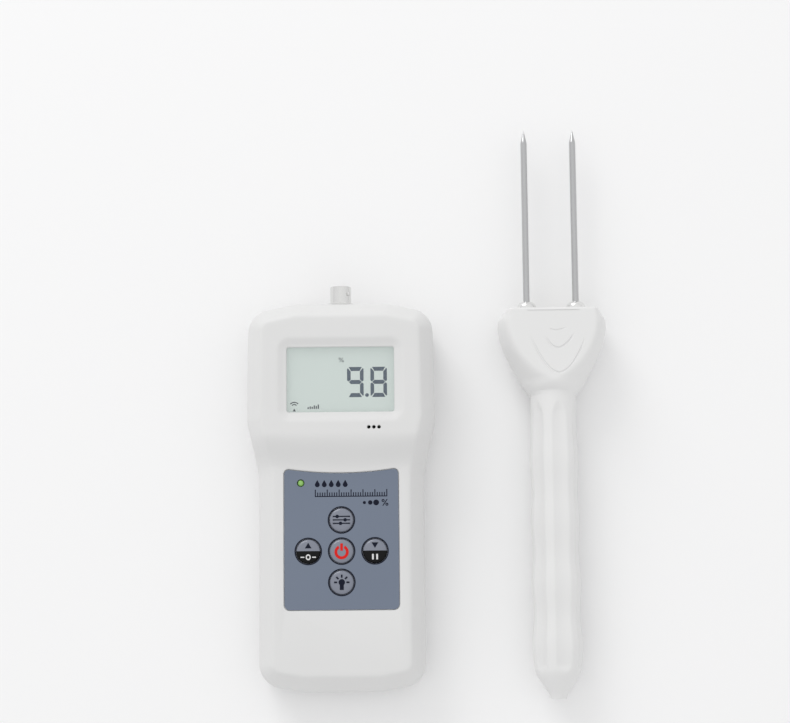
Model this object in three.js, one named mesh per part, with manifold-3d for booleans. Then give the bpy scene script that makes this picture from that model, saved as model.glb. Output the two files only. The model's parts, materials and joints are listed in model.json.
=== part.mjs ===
// A hand-held pin-type moisture meter lying on its back, with its two-pin probe beside it.
// Millimetres, +Z up out of the display. +Y runs along the meter, from the grip towards the BNC
// socket, and +X runs across it, towards the probe. Places are given from the middle of the
// meter's back, and at the end the whole is moved so that its footprint is centred on the origin.
import * as THREE from "three";
import { mergeVertices } from "three/addons/utils/BufferGeometryUtils.js";
import Module from "manifold-3d";

const wasm = await Module();
wasm.setup();

// ---------------------------------------------------------------- driving dimensions

const gap = 0.3; // between pieces that touch
const seam = 0.1; // half of the parting gap between two shells
const wall = 2.2;

const caseLength = 176;
const displayWidth = 86; // widest part of the case, around the display
const shoulderWidth = 84.4; // across the case just under its top corners
const gripWidth = 75.2;
const displayRise = 6; // how far the display face stands above the grip face
const bevelInset = 6.5; // width of the sloping band round the front face
const bevelDrop = 8;
const backBevelInset = 5;
const backBevelRise = 6;
const topFlat = 42.6; // straight part of the top edge
const topDrop = 4.4; // how far the top edge falls towards its corners
const bottomFlat = 35.4;
const bottomRise = 3.4;
const cornerRun = 10;
const taperStart = 10; // the grip starts to widen here
const taperEnd = 34;
const rampFoot = 9.4; // the face starts to rise towards the display, on the centre line
const rampFootCurve = 2.1; // the foot of the ramp curves up by this at the label's corners
const rampTop = 28;

const windowWidth = 48.8;
const windowHeight = 29.8;
const windowDrop = 35.9; // from the top edge of the case to the window's middle
const bezelMargin = 4.8; // soft recess round the window
const bezelDepth = 1.6;
const lensThickness = 1.5;
const glassThickness = 2.6;
const backlightThickness = 3;

const labelWidth = 51.5;
const labelLength = 63.4;
const labelTop = 12;
const labelThickness = 0.4;
const labelRecess = 0.8;
const labelCorner = 2.4;
const keyRadius = 5.4;
const keyClearance = 0.3;
const keyTravel = 0.5;
const keyRise = 0.7; // how far a key stands above the label
const keySpacingX = 4.2; // between the sides of neighbouring caps
const keySpacingY = 3.2;
const powerKeyDrop = 37.2; // from the label's top edge to the middle key
const ledX = -18.3;
const ledDrop = 6.4;
const ledRadius = 1.45;
const soundX = 15;
const soundY = 30;
const soundPitch = 2.3;
const soundHoleRadius = 0.75;

const boardWidth = 54;
const boardBottomInset = 26; // from the ends of the case
const boardTopInset = 16;
const boardThickness = 1.6;
const boardClearance = 2.05; // between the battery bay and the board
const faceAboveBoard = 8.9; // from the board to the grip's face
const boardAboveParting = 0.5;

const cellRadius = 5.25; // AAA
const cellLength = 44.5;
const cellSpacing = 0.7;
const cellAboveDoor = 0.75;
const springLength = 4;
const contactThickness = 0.4;
const bayWall = 1.5;
const bayInset = 43.2; // from the bottom edge of the case to the bay's middle

const doorMargin = 1; // beyond the bay on each side
const doorReach = 74; // from the bottom edge of the case to the door's top
const doorThickness = 2;
const doorHeight = 0.4; // the door's outer face sits this far inside the back
const tongueWidth = 1.2;

const socketRadius = 4.85; // BNC barrel
const socketReach = 9; // from the end of the case to the barrel's rim
const socketBore = 4.1;
const threadRadius = 4.65;
const flangeRadius = 6;
const flangeThickness = 0.8;
const endWall = 2.5;

const screwInset = 10; // from the sides of the case at its widest
const upperScrewInset = 18;
const lowerScrewInset = 14;
const screwRadius = 1.4;
const screwHeadRadius = 2.6;
const bossRadius = 3.4;

const probeX = 97.6; // the probe's axis, from the meter's
const probeNeckY = 46; // where the handle meets the head
const headHalfWidth = 25.1;
const headLength = 39.6;
const headFront = 13.4; // the head's face, above the probe's axis
const headBack = 11.3; // the probe's axis, above the table
const gripRadius = 10.5; // at the waists between the finger swells
const fluteDepth = 0.7;
const flutes = 6;
const gripLength = 138;
const tailLength = 11;
const tailRadius = 3.8;
const probeWall = 2.4;
const pinSpacing = 22.8;
const pinRadius = 1.5;
const pinReach = 86.5; // from the top of the head to the point
const pinPoint = 6.4;
const collarHeight = 4;
const jackRadius = 1.8;

// ---------------------------------------------------------------- sizes that follow from these

const caseEnd = caseLength / 2;
const cellPitch = 2 * cellRadius + cellSpacing;
const cellHeight = doorHeight + doorThickness + cellAboveDoor + cellRadius;
const bayRoof = cellHeight + cellRadius + gap;
const boardHeight = bayRoof + bayWall + boardClearance;
const boardFace = boardHeight + boardThickness;
const gripThickness = boardFace + faceAboveBoard;
const displayHeight = gripThickness + displayRise;
const partingHeight = boardHeight - boardAboveParting;
const boardTop = caseEnd - boardTopInset;
const boardBottom = -caseEnd + boardBottomInset;
const bayY = -caseEnd + bayInset;
const doorTop = -caseEnd + doorReach;
const cellsWide = 4 * cellPitch;
const bayWidth = cellsWide + 1.2;
const doorWidth = bayWidth + 2 * doorMargin;
const windowY = caseEnd - windowDrop;
const labelBottom = labelTop - labelLength;
const keyPitchX = 2 * keyRadius + keySpacingX;
const keyPitchY = 2 * keyRadius + keySpacingY;
const powerKeyY = labelTop - powerKeyDrop;
const ledY = labelTop - ledDrop;
const screwX = displayWidth / 2 - screwInset;
const upperScrewY = caseEnd - upperScrewInset;
const lowerScrewY = -caseEnd + lowerScrewInset;

// ---------------------------------------------------------------- working with solids

function solidOf(geometry) {
  const loose = geometry.index ? geometry.toNonIndexed() : geometry.clone();
  for (const name of ["normal", "uv"]) loose.deleteAttribute(name);
  const merged = mergeVertices(loose, 1e-4);
  return new wasm.Manifold(
    new wasm.Mesh({
      numProp: 3,
      vertProperties: merged.attributes.position.array,
      triVerts: new Uint32Array(merged.index.array),
    }),
  );
}

function geometryOf(solid) {
  const { vertProperties, triVerts } = solid.getMesh();
  return new THREE.BufferGeometry()
    .setAttribute("position", new THREE.BufferAttribute(vertProperties, 3))
    .setIndex(new THREE.BufferAttribute(triVerts, 1));
}

const cut = (body, ...tools) => tools.reduce((left, tool) => left.subtract(tool), body);
const join = (...bodies) => bodies.reduce((whole, body) => whole.add(body));

function block([x0, x1], [y0, y1], [z0, z1]) {
  const box = new THREE.BoxGeometry(x1 - x0, y1 - y0, z1 - z0);
  return solidOf(box.translate((x0 + x1) / 2, (y0 + y1) / 2, (z0 + z1) / 2));
}

// A round bar along Z, from z0 to z1.
function post(x, y, radius, [z0, z1], sides = 20) {
  const bar = new THREE.CylinderGeometry(radius, radius, z1 - z0, sides);
  return solidOf(bar.rotateX(Math.PI / 2).translate(x, y, (z0 + z1) / 2));
}

// A profile of [radius, position] pairs turned about Z, from low to high.
function turned(profile, sides = 24) {
  const points = profile.map(([radius, along]) => new THREE.Vector2(radius, along));
  return new THREE.LatheGeometry(points, sides).rotateX(Math.PI / 2);
}

// The same, turned about the line through (x, z) that runs along +Y.
const turnedAlongY = (profile, x, z, sides) =>
  solidOf(turned(profile, sides).rotateX(-Math.PI / 2).translate(x, 0, z));

function roundedRectangle(width, [y0, y1], radius, sag = 0) {
  const half = width / 2;
  const shape = new THREE.Shape();
  shape.moveTo(-half + radius, y0);
  shape.lineTo(half - radius, y0);
  shape.quadraticCurveTo(half, y0, half, y0 + radius);
  shape.lineTo(half, y1 - radius);
  shape.quadraticCurveTo(half, y1, half - radius, y1);
  shape.quadraticCurveTo(0, y1 - 2 * sag, -half + radius, y1);
  shape.quadraticCurveTo(-half, y1, -half, y1 - radius);
  shape.lineTo(-half, y0 + radius);
  shape.quadraticCurveTo(-half, y0, -half + radius, y0);
  return shape;
}

function slab(shape, [z0, z1], curveSegments = 5) {
  const plate = new THREE.ExtrudeGeometry(shape, {
    depth: z1 - z0,
    bevelEnabled: false,
    curveSegments,
  });
  return solidOf(plate.translate(0, 0, z0));
}

// A wire or lead: a round section swept along a smooth curve through the points.
function wire(points, radius, sides, steps) {
  const section = new THREE.Shape().absarc(0, 0, radius, 0, 2 * Math.PI);
  const path = new THREE.CatmullRomCurve3(points.map((p) => new THREE.Vector3(...p)));
  return solidOf(
    new THREE.ExtrudeGeometry(section, { steps, curveSegments: sides, extrudePath: path }),
  );
}

// A closed body through rings of equal length, first and last closed by the triangles in caps.
function loft(rings, capTriangles) {
  const count = rings[0].length;
  const vertices = rings.flat();
  const faces = [];
  for (let r = 0; r + 1 < rings.length; r++)
    for (let k = 0; k < count; k++) {
      const a = r * count + k;
      const b = r * count + ((k + 1) % count);
      faces.push([a, b, b + count], [a, b + count, a + count]);
    }
  const last = (rings.length - 1) * count;
  for (const [a, b, c] of capTriangles) {
    faces.push([a, c, b]);
    faces.push([a + last, b + last, c + last]);
  }
  const geometry = new THREE.BufferGeometry();
  geometry.setAttribute("position", new THREE.Float32BufferAttribute(vertices.flat(), 3));
  return geometry.setIndex(faces.flat());
}

// ---------------------------------------------------------------- the case's form

function between([x0, y0], [x1, y1], count) {
  return Array.from({ length: count }, (_, i) => {
    const t = i / count;
    return [x0 + (x1 - x0) * t, y0 + (y1 - y0) * t];
  });
}

function bend([x0, y0], [cx, cy], [x1, y1], count) {
  const curve = new THREE.QuadraticBezierCurve(
    new THREE.Vector2(x0, y0),
    new THREE.Vector2(cx, cy),
    new THREE.Vector2(x1, y1),
  );
  return curve.getPoints(count).slice(0, -1).map((p) => [p.x, p.y]);
}

// The right-hand side of the case in plan, from the bottom edge to the top edge.
function rightSide() {
  const grip = gripWidth / 2;
  const wide = displayWidth / 2;
  const shoulder = shoulderWidth / 2;
  const bottomCorner = [grip, -caseEnd + bottomRise];
  const bottomIn = [grip - cornerRun * 0.8, -caseEnd + bottomRise * 0.6];
  const sideLow = [grip, bottomCorner[1] + cornerRun * 0.9];
  const topCorner = [shoulder, caseEnd - topDrop - 2];
  const topIn = [shoulder - cornerRun * 0.8, caseEnd - topDrop];
  const sideHigh = [shoulder, topCorner[1] - cornerRun * 0.8];
  return [
    ...between([bottomFlat / 2, -caseEnd], bottomIn, 2),
    ...bend(bottomIn, bottomCorner, sideLow, 5),
    ...between(sideLow, [grip, taperStart - 2], 4),
    ...bend([grip, taperStart - 2], [grip, taperStart + 1], [grip + 0.6, taperStart + 4], 2),
    ...between([grip + 0.6, taperStart + 4], [wide - 0.5, taperEnd - 2], 5),
    ...bend([wide - 0.5, taperEnd - 2], [wide, taperEnd], [wide, taperEnd + 3], 2),
    ...between([wide, taperEnd + 3], sideHigh, 3),
    ...bend(sideHigh, topCorner, topIn, 5),
    topIn,
    [topFlat / 2, caseEnd],
  ];
}

const half = rightSide();
const outline = [...half, ...half.map(([x, y]) => [-x, y]).reverse()];

// The outline moved inwards by a distance, corner by corner.
function inset(distance) {
  const count = outline.length;
  return outline.map(([x, y], i) => {
    const [px, py] = outline[(i + count - 1) % count];
    const [nx, ny] = outline[(i + 1) % count];
    const before = new THREE.Vector2(y - py, px - x).normalize();
    const after = new THREE.Vector2(ny - y, x - nx).normalize();
    const out = before.clone().add(after).normalize();
    const reach = distance / Math.max(out.dot(after), 0.5);
    return [x - out.x * reach, y - out.y * reach];
  });
}

// How far the front face has risen from the grip's height towards the display's.
function rise(x, y) {
  const across = Math.min(Math.abs(x) / (labelWidth / 2), 1.2);
  const foot = rampFoot + rampFootCurve * across * across;
  const t = THREE.MathUtils.clamp((y - foot) / (rampTop - foot), 0, 1);
  return displayRise * t * t * (3 - 2 * t);
}

// The triangles that close a ring of the outline's points, straight across from side to side.
const ladder = half.slice(0, -1).flatMap((_, i) => {
  const opposite = outline.length - 1 - i;
  return [
    [i, i + 1, opposite - 1],
    [i, opposite - 1, opposite],
  ];
});

function ringAt(distance, height) {
  return inset(distance).map(([x, y]) => [x, y, height(x, y)]);
}

const face = (drop) => (x, y) => gripThickness + rise(x, y) - drop;
const level = (z) => () => z;

const frontOuter = solidOf(
  loft(
    [
      ringAt(0, level(partingHeight + seam)),
      ringAt(0.3, face(bevelDrop)),
      ringAt(bevelInset - 1.4, face(1.5)),
      ringAt(bevelInset, face(0.4)),
      ringAt(bevelInset + 1.4, face(0)),
    ],
    ladder,
  ),
);
const frontInner = solidOf(
  loft(
    [
      ringAt(wall, level(partingHeight - 1)),
      ringAt(wall + 0.3, face(bevelDrop + 0.6)),
      ringAt(bevelInset + 1.4, face(wall)),
    ],
    ladder,
  ),
);
const backOuter = solidOf(
  loft(
    [
      ringAt(backBevelInset + 0.8, level(0)),
      ringAt(backBevelInset - 0.6, level(0.5)),
      ringAt(0.3, level(backBevelRise)),
      ringAt(0, level(partingHeight - seam)),
    ],
    ladder,
  ),
);
const backInner = solidOf(
  loft(
    [
      ringAt(backBevelInset + 0.8, level(wall)),
      ringAt(wall + 0.3, level(backBevelRise + 1)),
      ringAt(wall, level(partingHeight + 1)),
    ],
    ladder,
  ),
);

// ---------------------------------------------------------------- the group and its nodes

const group = new THREE.Group();

const finishes = {
  casing: { color: 0xd9d9d8, roughness: 0.55, metalness: 0 },
  label: { color: 0x76829a, roughness: 0.45, metalness: 0 },
  key: { color: 0x8b93a5, roughness: 0.4, metalness: 0 },
  clear: { color: 0xdfe8e6, roughness: 0.05, metalness: 0 },
  glass: { color: 0xc9d6d0, roughness: 0.15, metalness: 0 },
  diffuser: { color: 0xf0f3ee, roughness: 0.6, metalness: 0 },
  black: { color: 0x1c1c1e, roughness: 0.6, metalness: 0 },
  board: { color: 0x1f5a34, roughness: 0.5, metalness: 0 },
  chrome: { color: 0xdadcdf, roughness: 0.15, metalness: 1 },
  steel: { color: 0xb9bcc0, roughness: 0.3, metalness: 1 },
  gold: { color: 0xd2a64a, roughness: 0.25, metalness: 1 },
  white: { color: 0xf2f1ec, roughness: 0.5, metalness: 0 },
  cell: { color: 0x3a4a5c, roughness: 0.35, metalness: 0.1 },
  led: { color: 0x79d84a, roughness: 0.3, metalness: 0 },
  redLead: { color: 0xb02a24, roughness: 0.5, metalness: 0 },
};

function addNode(name, finish, solid, place = [0, 0, 0]) {
  const material = new THREE.MeshStandardMaterial(finishes[finish]);
  const mesh = new THREE.Mesh(geometryOf(solid), material);
  mesh.name = name;
  mesh.position.set(...place);
  group.add(mesh);
}

// ---------------------------------------------------------------- what goes through the front

const keys = [
  ["fun", 0, powerKeyY + keyPitchY],
  ["zero", -keyPitchX, powerKeyY],
  ["power", 0, powerKeyY],
  ["hold", keyPitchX, powerKeyY],
  ["light", 0, powerKeyY - keyPitchY],
];
const keyHoleRadius = keyRadius + keyClearance;
const through = [partingHeight + 3, displayHeight + 2];

const lowerScrewX = screwX - (displayWidth - gripWidth) / 2 + 1.4;
const screwPlaces = [
  ["upper_left", -screwX, upperScrewY],
  ["upper_right", screwX, upperScrewY],
  ["lower_left", -lowerScrewX, lowerScrewY],
  ["lower_right", lowerScrewX, lowerScrewY],
];

// The BNC jack's axis lies on the parting plane, so each shell takes half of its hole.
const jackHole = turnedAlongY(
  [
    [0, caseEnd - 12],
    [threadRadius + gap, caseEnd - 12],
    [threadRadius + gap, caseEnd + 4],
    [0, caseEnd + 4],
  ],
  0,
  partingHeight,
);
const endBlock = [caseEnd - endWall, caseEnd - 1.2];

function bezelRecess() {
  const rows = [0, 1].map((step) => {
    const grow = step * bezelMargin;
    const width = windowWidth + 2 * grow;
    const tall = windowHeight / 2 + grow;
    const depth = step ? 0.01 : -bezelDepth;
    const shape = roundedRectangle(width, [windowY - tall, windowY + tall], 1 + 2 * step);
    return shape.getPoints(4).slice(0, -1).map((p) => [p.x, p.y, displayHeight + depth]);
  });
  const rimmed = [...rows, rows[1].map(([x, y, z]) => [x, y, z + 2])];
  const flat = rows[0].map(([x, y]) => new THREE.Vector2(x, y));
  return solidOf(loft(rimmed, THREE.ShapeUtils.triangulateShape(flat, [])));
}

// ---------------------------------------------------------------- front shell

const labelShape = (clear) =>
  roundedRectangle(
    labelWidth + 2 * clear,
    [labelBottom - clear, labelTop + clear],
    labelCorner,
    rampFootCurve,
  );
const windowSpan = [windowY - windowHeight / 2, windowY + windowHeight / 2];
const bossTop = (x, y) => gripThickness + rise(x, y) - wall + 0.6;

function frontShell() {
  const bosses = screwPlaces.map(([, x, y]) =>
    post(x, y, bossRadius, [partingHeight + seam, bossTop(x, y)], 12),
  );
  const boardPosts = [
    [-boardWidth / 2 + 3, boardBottom + 4],
    [boardWidth / 2 - 3, boardBottom + 4],
    [-boardWidth / 2 + 3, 20],
    [boardWidth / 2 - 3, 20],
  ].map(([x, y]) => post(x, y, 2, [boardHeight + boardThickness + gap, bossTop(x, y)], 12));
  const endRib = block([-11, 11], endBlock, [partingHeight + seam, partingHeight + 8]);
  const pilots = screwPlaces.map(([, x, y]) =>
    post(x, y, screwRadius + gap, [partingHeight - 1, partingHeight + 6.5], 12),
  );
  const window = slab(roundedRectangle(windowWidth, windowSpan, 1), through);
  const label = slab(labelShape(gap), [gripThickness - labelRecess, displayHeight + 3]);
  const keyHoles = keys.map(([, x, y]) => post(x, y, keyHoleRadius, through, 20));
  const ledHole = post(ledX, ledY, ledRadius + gap, through, 16);
  const soundHoles = [-1, 0, 1].map((i) =>
    post(soundX + i * soundPitch, soundY, soundHoleRadius, through, 10),
  );
  const inside = frontOuter.intersect(join(...bosses, ...boardPosts, endRib));
  const shell = join(cut(frontOuter, frontInner), inside);
  return cut(
    shell,
    bezelRecess(),
    window,
    label,
    jackHole,
    ledHole,
    ...pilots,
    ...keyHoles,
    ...soundHoles,
  );
}
addNode("front_shell", "casing", frontShell());

// ---------------------------------------------------------------- back shell and battery door

const contactSpan = cellLength + springLength + 3 * gap;
const bayLength = contactSpan + 2 * (contactThickness + gap);
const bayBottom = bayY - bayLength / 2;
const bayTop = bayY + bayLength / 2;
const doorBottom = -caseEnd + backBevelInset - 2;
const grooveLow = 0.9;
const doorChannelTop = doorHeight + doorThickness + gap;
const doorFloor = doorChannelTop + 1.8;

function backShell() {
  const beyond = -caseEnd - 1;
  const bay = [bayWidth / 2, bayRoof];
  const bayBox = block(
    [-bay[0] - bayWall, bay[0] + bayWall],
    [bayBottom - bayWall, bayTop + bayWall],
    [1, bay[1] + bayWall],
  );
  const floor = block(
    [-doorWidth / 2 - 3.2, doorWidth / 2 + 3.2],
    [-caseEnd + 3.2, doorTop + 2.5],
    [1, doorFloor],
  );
  const boardPads = [
    [-boardWidth / 3, boardBottom + 20],
    [boardWidth / 3, boardBottom + 20],
  ].map(([x, y]) => post(x, y, 2.2, [bayRoof + 1, boardHeight - gap], 12));
  const bosses = screwPlaces.map(([, x, y]) =>
    post(x, y, bossRadius, [1, partingHeight - seam], 12),
  );
  const endRib = block([-11, 11], endBlock, [partingHeight - 8, partingHeight - seam]);
  const bayRoom = block([-bay[0], bay[0]], [bayBottom, bayTop], [-1, bay[1]]);
  const mouth = doorWidth / 2 + gap;
  const channel = block([-mouth, mouth], [beyond, doorTop + gap], [-1, doorChannelTop]);
  const grooves = block(
    [-mouth - tongueWidth, mouth + tongueWidth],
    [beyond, doorTop + gap],
    [grooveLow, doorChannelTop],
  );
  const screwHoles = screwPlaces.flatMap(([, x, y]) => [
    post(x, y, screwRadius + gap, [-1, partingHeight + 1], 12),
    post(x, y, screwHeadRadius + gap, [-1, 5], 20),
  ]);
  const inside = backOuter.intersect(join(bayBox, floor, endRib, ...bosses));
  const shell = join(cut(backOuter, backInner), inside, ...boardPads);
  return cut(shell, bayRoom, channel, grooves, jackHole, ...screwHoles);
}
addNode("back_shell", "casing", backShell());

function batteryDoor() {
  const top = doorHeight + doorThickness;
  const plate = block(
    [-doorWidth / 2, doorWidth / 2],
    [-caseEnd, doorTop],
    [doorHeight, top],
  );
  const tongues = block(
    [-doorWidth / 2 - tongueWidth, doorWidth / 2 + tongueWidth],
    [doorBottom, doorTop],
    [grooveLow + gap, top],
  );
  const ribs = [0, 1, 2, 3, 4].map((i) =>
    block([-9, 9], [doorTop - 14 + i * 2.2, doorTop - 12.8 + i * 2.2], [-1, doorHeight + 0.5]),
  );
  const trimmed = join(plate, tongues).intersect(backOuter);
  return cut(trimmed, ...ribs);
}
addNode("battery_door", "casing", batteryDoor());

// ---------------------------------------------------------------- battery cells and contacts

const lowerFace = bayY - contactSpan / 2;
const upperFace = bayY + contactSpan / 2;
const springProfileRadius = 2.6;

// One AAA cell with its negative end at y = 0 and its positive nub towards +Y.
function cell() {
  const bodyEnd = cellLength - 1;
  return turnedAlongY(
    [
      [0, 0],
      [cellRadius - 0.4, 0],
      [cellRadius, 0.5],
      [cellRadius, bodyEnd - 0.6],
      [cellRadius - 0.6, bodyEnd],
      [1.9, bodyEnd],
      [1.9, cellLength],
      [0, cellLength],
    ],
    0,
    0,
    20,
  );
}

// A contact spring along Y, a cone of three turns.
function spring() {
  const turns = 3;
  const wireRadius = 0.3;
  const points = Array.from({ length: 22 }, (_, i) => {
    const t = i / 21;
    const angle = 2 * Math.PI * turns * t;
    const radius = springProfileRadius * (1 - 0.35 * t);
    const along = wireRadius + (springLength - 2 * gap - 2 * wireRadius) * t;
    return [radius * Math.cos(angle), along, radius * Math.sin(angle)];
  });
  return wire(points, wireRadius, 2, 21);
}

for (let i = 0; i < 4; i++) {
  const x = (i - 1.5) * cellPitch;
  const upright = i % 2 === 0;
  const start = upright ? lowerFace + springLength + gap : upperFace - springLength - gap;
  const springStart = upright ? lowerFace + gap : upperFace - gap;
  const facing = (body) => (upright ? body : body.rotate([0, 0, 180]));
  addNode(`battery_${i + 1}`, "cell", facing(cell()), [x, start, cellHeight]);
  addNode(`contact_spring_${i + 1}`, "steel", facing(spring()), [x, springStart, cellHeight]);
}
for (const [name, y] of [
  ["contact_plate_lower", lowerFace - contactThickness],
  ["contact_plate_upper", upperFace],
])
  addNode(
    name,
    "steel",
    block(
      [-cellsWide / 2, cellsWide / 2],
      [y, y + contactThickness],
      [cellHeight - 4, cellHeight + 4],
    ),
  );

// ---------------------------------------------------------------- display

const wallBehindWindow = displayHeight - wall;
const lensTop = wallBehindWindow - gap;
const glassTop = lensTop - lensThickness - gap;
const glassBottom = glassTop - glassThickness;
const backlightTop = glassBottom - gap;
const backlightBottom = backlightTop - backlightThickness;

function plate(grow, [z0, z1]) {
  const [x, tall] = [windowWidth / 2 + grow, windowHeight / 2 + grow];
  return block([-x, x], [windowY - tall, windowY + tall], [z0, z1]);
}

addNode("lcd_window", "clear", plate(2.4, [lensTop - lensThickness, lensTop]));
addNode("lcd_glass", "glass", plate(1.6, [glassBottom, glassTop]));
addNode("lcd_backlight", "diffuser", plate(0.6, [backlightBottom, backlightTop]));

function lcdHolder() {
  const outside = plate(3.4, [boardFace + gap, glassTop - 0.2]);
  const glassSeat = plate(1.6 + gap, [glassBottom - gap, glassTop + 1]);
  const well = plate(0.6 + gap, [boardFace - 1, glassTop + 1]);
  const stripSlot = block(
    [-windowWidth / 2, windowWidth / 2],
    [windowSpan[0] - 2.6, windowSpan[0]],
    [boardFace - 1, glassTop],
  );
  return cut(outside, glassSeat, well, stripSlot);
}
addNode("lcd_holder", "white", lcdHolder());
addNode(
  "contact_strip",
  "black",
  block(
    [-windowWidth / 2 + 1, windowWidth / 2 - 1],
    [windowSpan[0] - 1.5, windowSpan[0] - 1.1],
    [boardFace + gap, glassBottom - gap],
  ),
);

// ---------------------------------------------------------------- board and what is on it

function mainBoard() {
  const card = block(
    [-boardWidth / 2, boardWidth / 2],
    [boardBottom, boardTop],
    [boardHeight, boardFace],
  );
  const notch = post(0, boardTop + 4, 9, [boardHeight - 1, boardFace + 1], 24);
  return cut(card, notch);
}
addNode("main_board", "board", mainBoard());

const switchHeight = 3.5;
const switchButtonTop = boardFace + 4.3;
for (const [name, x, y] of keys) {
  const low = boardFace + gap;
  const body = block([x - 3, x + 3], [y - 3, y + 3], [low, low + switchHeight - 0.4]);
  addNode(`switch_${name}`, "black", join(body, post(x, y, 1.7, [low, switchButtonTop], 14)));
}

function indicator() {
  const low = boardFace + gap;
  const dome = gripThickness + 0.1;
  return solidOf(
    turned(
      [
        [0, low],
        [ledRadius + 0.3, low],
        [ledRadius + 0.3, low + 1],
        [ledRadius, low + 1],
        [ledRadius, dome - 0.7],
        [ledRadius * 0.75, dome - 0.2],
        [0, dome],
      ],
      16,
    ).translate(ledX, ledY, 0),
  );
}
addNode("status_led", "led", indicator());

const buzzerRadius = 4.5;
addNode(
  "buzzer",
  "black",
  cut(
    post(soundX, soundY - 2.8, buzzerRadius, [boardFace + gap, boardFace + 6.3], 24),
    post(soundX, soundY - 2.8, 1, [boardFace + 5, boardFace + 8], 12),
  ),
);
addNode(
  "microcontroller",
  "black",
  block([-4, 8], [0, 12], [boardFace + gap, boardFace + gap + 1.6]),
);

// ---------------------------------------------------------------- label and keys

const labelTopHeight = gripThickness - 0.1;
const labelLow = labelTopHeight - labelThickness;
addNode(
  "keypad_label",
  "label",
  cut(
    slab(labelShape(0), [labelLow, labelTopHeight]),
    post(ledX, ledY, ledRadius + gap, through, 16),
    ...keys.map(([, x, y]) => post(x, y, keyHoleRadius, through, 20)),
  ),
);

// A key slides through the label and the shell, and its skirt keeps it in.
function key() {
  const cap = labelTopHeight + keyRise;
  const skirtTop = gripThickness - wall - gap;
  const skirtLow = skirtTop - 0.8;
  const stemLow = switchButtonTop + keyTravel + 0.1;
  return solidOf(
    turned(
      [
        [0, stemLow],
        [1.8, stemLow],
        [1.8, skirtLow],
        [keyRadius + 0.9, skirtLow],
        [keyRadius + 0.9, skirtTop],
        [keyRadius, skirtTop],
        [keyRadius, cap - 0.45],
        [keyRadius - 1.2, cap],
        [0, cap],
      ],
      20,
    ),
  );
}
for (const [name, x, y] of keys) addNode(`key_${name}`, "key", key(), [x, y, 0]);

// ---------------------------------------------------------------- BNC socket

const rim = caseEnd + socketReach;
const flangeLow = caseEnd + gap;
const innerFace = caseEnd - endWall;
const washerThickness = 0.6;
const nutThickness = 2.4;
const socketTail = innerFace - 6;

function bayonetLug(side) {
  const lug = new THREE.CylinderGeometry(1, 1, 1.5, 10);
  lug.rotateZ(-Math.PI / 2);
  lug.translate(side * (socketRadius + 0.3), 0, 0);
  lug.rotateY(-THREE.MathUtils.degToRad(42));
  return solidOf(lug.translate(0, rim - 3.6, partingHeight));
}

function socketBody() {
  const barrel = turnedAlongY(
    [
      [socketBore, rim],
      [socketBore, flangeLow + 1.5],
      [3.2, flangeLow + 1.5],
      [3.2, socketTail],
      [threadRadius, socketTail],
      [threadRadius, flangeLow],
      [flangeRadius, flangeLow],
      [flangeRadius, flangeLow + flangeThickness],
      [socketRadius, flangeLow + flangeThickness],
      [socketRadius, rim - 0.4],
      [socketRadius - 0.3, rim],
      [socketBore, rim],
    ],
    0,
    partingHeight,
    24,
  );
  return join(barrel, bayonetLug(1), bayonetLug(-1));
}
addNode("bnc_body", "chrome", socketBody());

const contactRadius = 0.7;
const insulatorTop = rim - 5;
addNode(
  "bnc_insulator",
  "white",
  turnedAlongY(
    [
      [contactRadius + gap, socketTail + 1],
      [3.2 - gap, socketTail + 1],
      [3.2 - gap, flangeLow + 1.8],
      [2.35, flangeLow + 1.8],
      [2.35, insulatorTop],
      [contactRadius + gap, insulatorTop],
      [contactRadius + gap, socketTail + 1],
    ],
    0,
    partingHeight,
    20,
  ),
);
addNode(
  "bnc_contact",
  "gold",
  turnedAlongY(
    [
      [0, socketTail - 4],
      [contactRadius, socketTail - 4],
      [contactRadius, insulatorTop - 0.4],
      [0, insulatorTop - 0.4],
    ],
    0,
    partingHeight,
    12,
  ),
);

function ring(inner, outer, [y0, y1], sides) {
  const [a, b] = [
    [0, outer],
    [1, inner],
  ].map(([grow, radius]) =>
    turnedAlongY(
      [
        [0, y0 - grow],
        [radius, y0 - grow],
        [radius, y1 + grow],
        [0, y1 + grow],
      ],
      0,
      partingHeight,
      grow ? 24 : sides,
    ),
  );
  return cut(a, b);
}
const washerTop = innerFace - gap;
const nutTop = washerTop - washerThickness - gap;
const onThread = threadRadius + gap;
addNode("bnc_washer", "steel", ring(onThread, 7, [washerTop - washerThickness, washerTop], 24));
addNode("bnc_nut", "chrome", ring(onThread, 7.3, [nutTop - nutThickness, nutTop], 6));

const solderCup = socketTail - 4;
addNode(
  "signal_lead",
  "black",
  wire(
    [
      [0, solderCup - gap, partingHeight],
      [0, solderCup - 2, partingHeight],
      [3, solderCup - 5, partingHeight - 2],
      [8, solderCup - 8, partingHeight - 2],
      [11, solderCup - 9.5, partingHeight - 1],
    ],
    0.7,
    3,
    8,
  ),
);

// ---------------------------------------------------------------- case screws

// A self-tapping screw driven up from below, with a cross recess in its head.
function screw(headHeight, length) {
  const bar = turned(
    [
      [0, 0],
      [screwHeadRadius, 0],
      [screwHeadRadius, 1.8],
      [screwRadius, 1.8],
      [screwRadius, length - 1.2],
      [0.4, length],
      [0, length],
    ],
    10,
  );
  const recess = [
    [1.7, 0.35],
    [0.35, 1.7],
  ].map(([x, y]) => block([-x, x], [-y, y], [-1, 0.9]));
  return cut(solidOf(bar), ...recess).translate([0, 0, headHeight]);
}
for (const [name, x, y] of screwPlaces)
  addNode(`case_screw_${name}`, "steel", screw(2.9, 18.5), [x, y, 0]);

// ---------------------------------------------------------------- the probe's form

const sectionPoints = flutes * 4;

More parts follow.
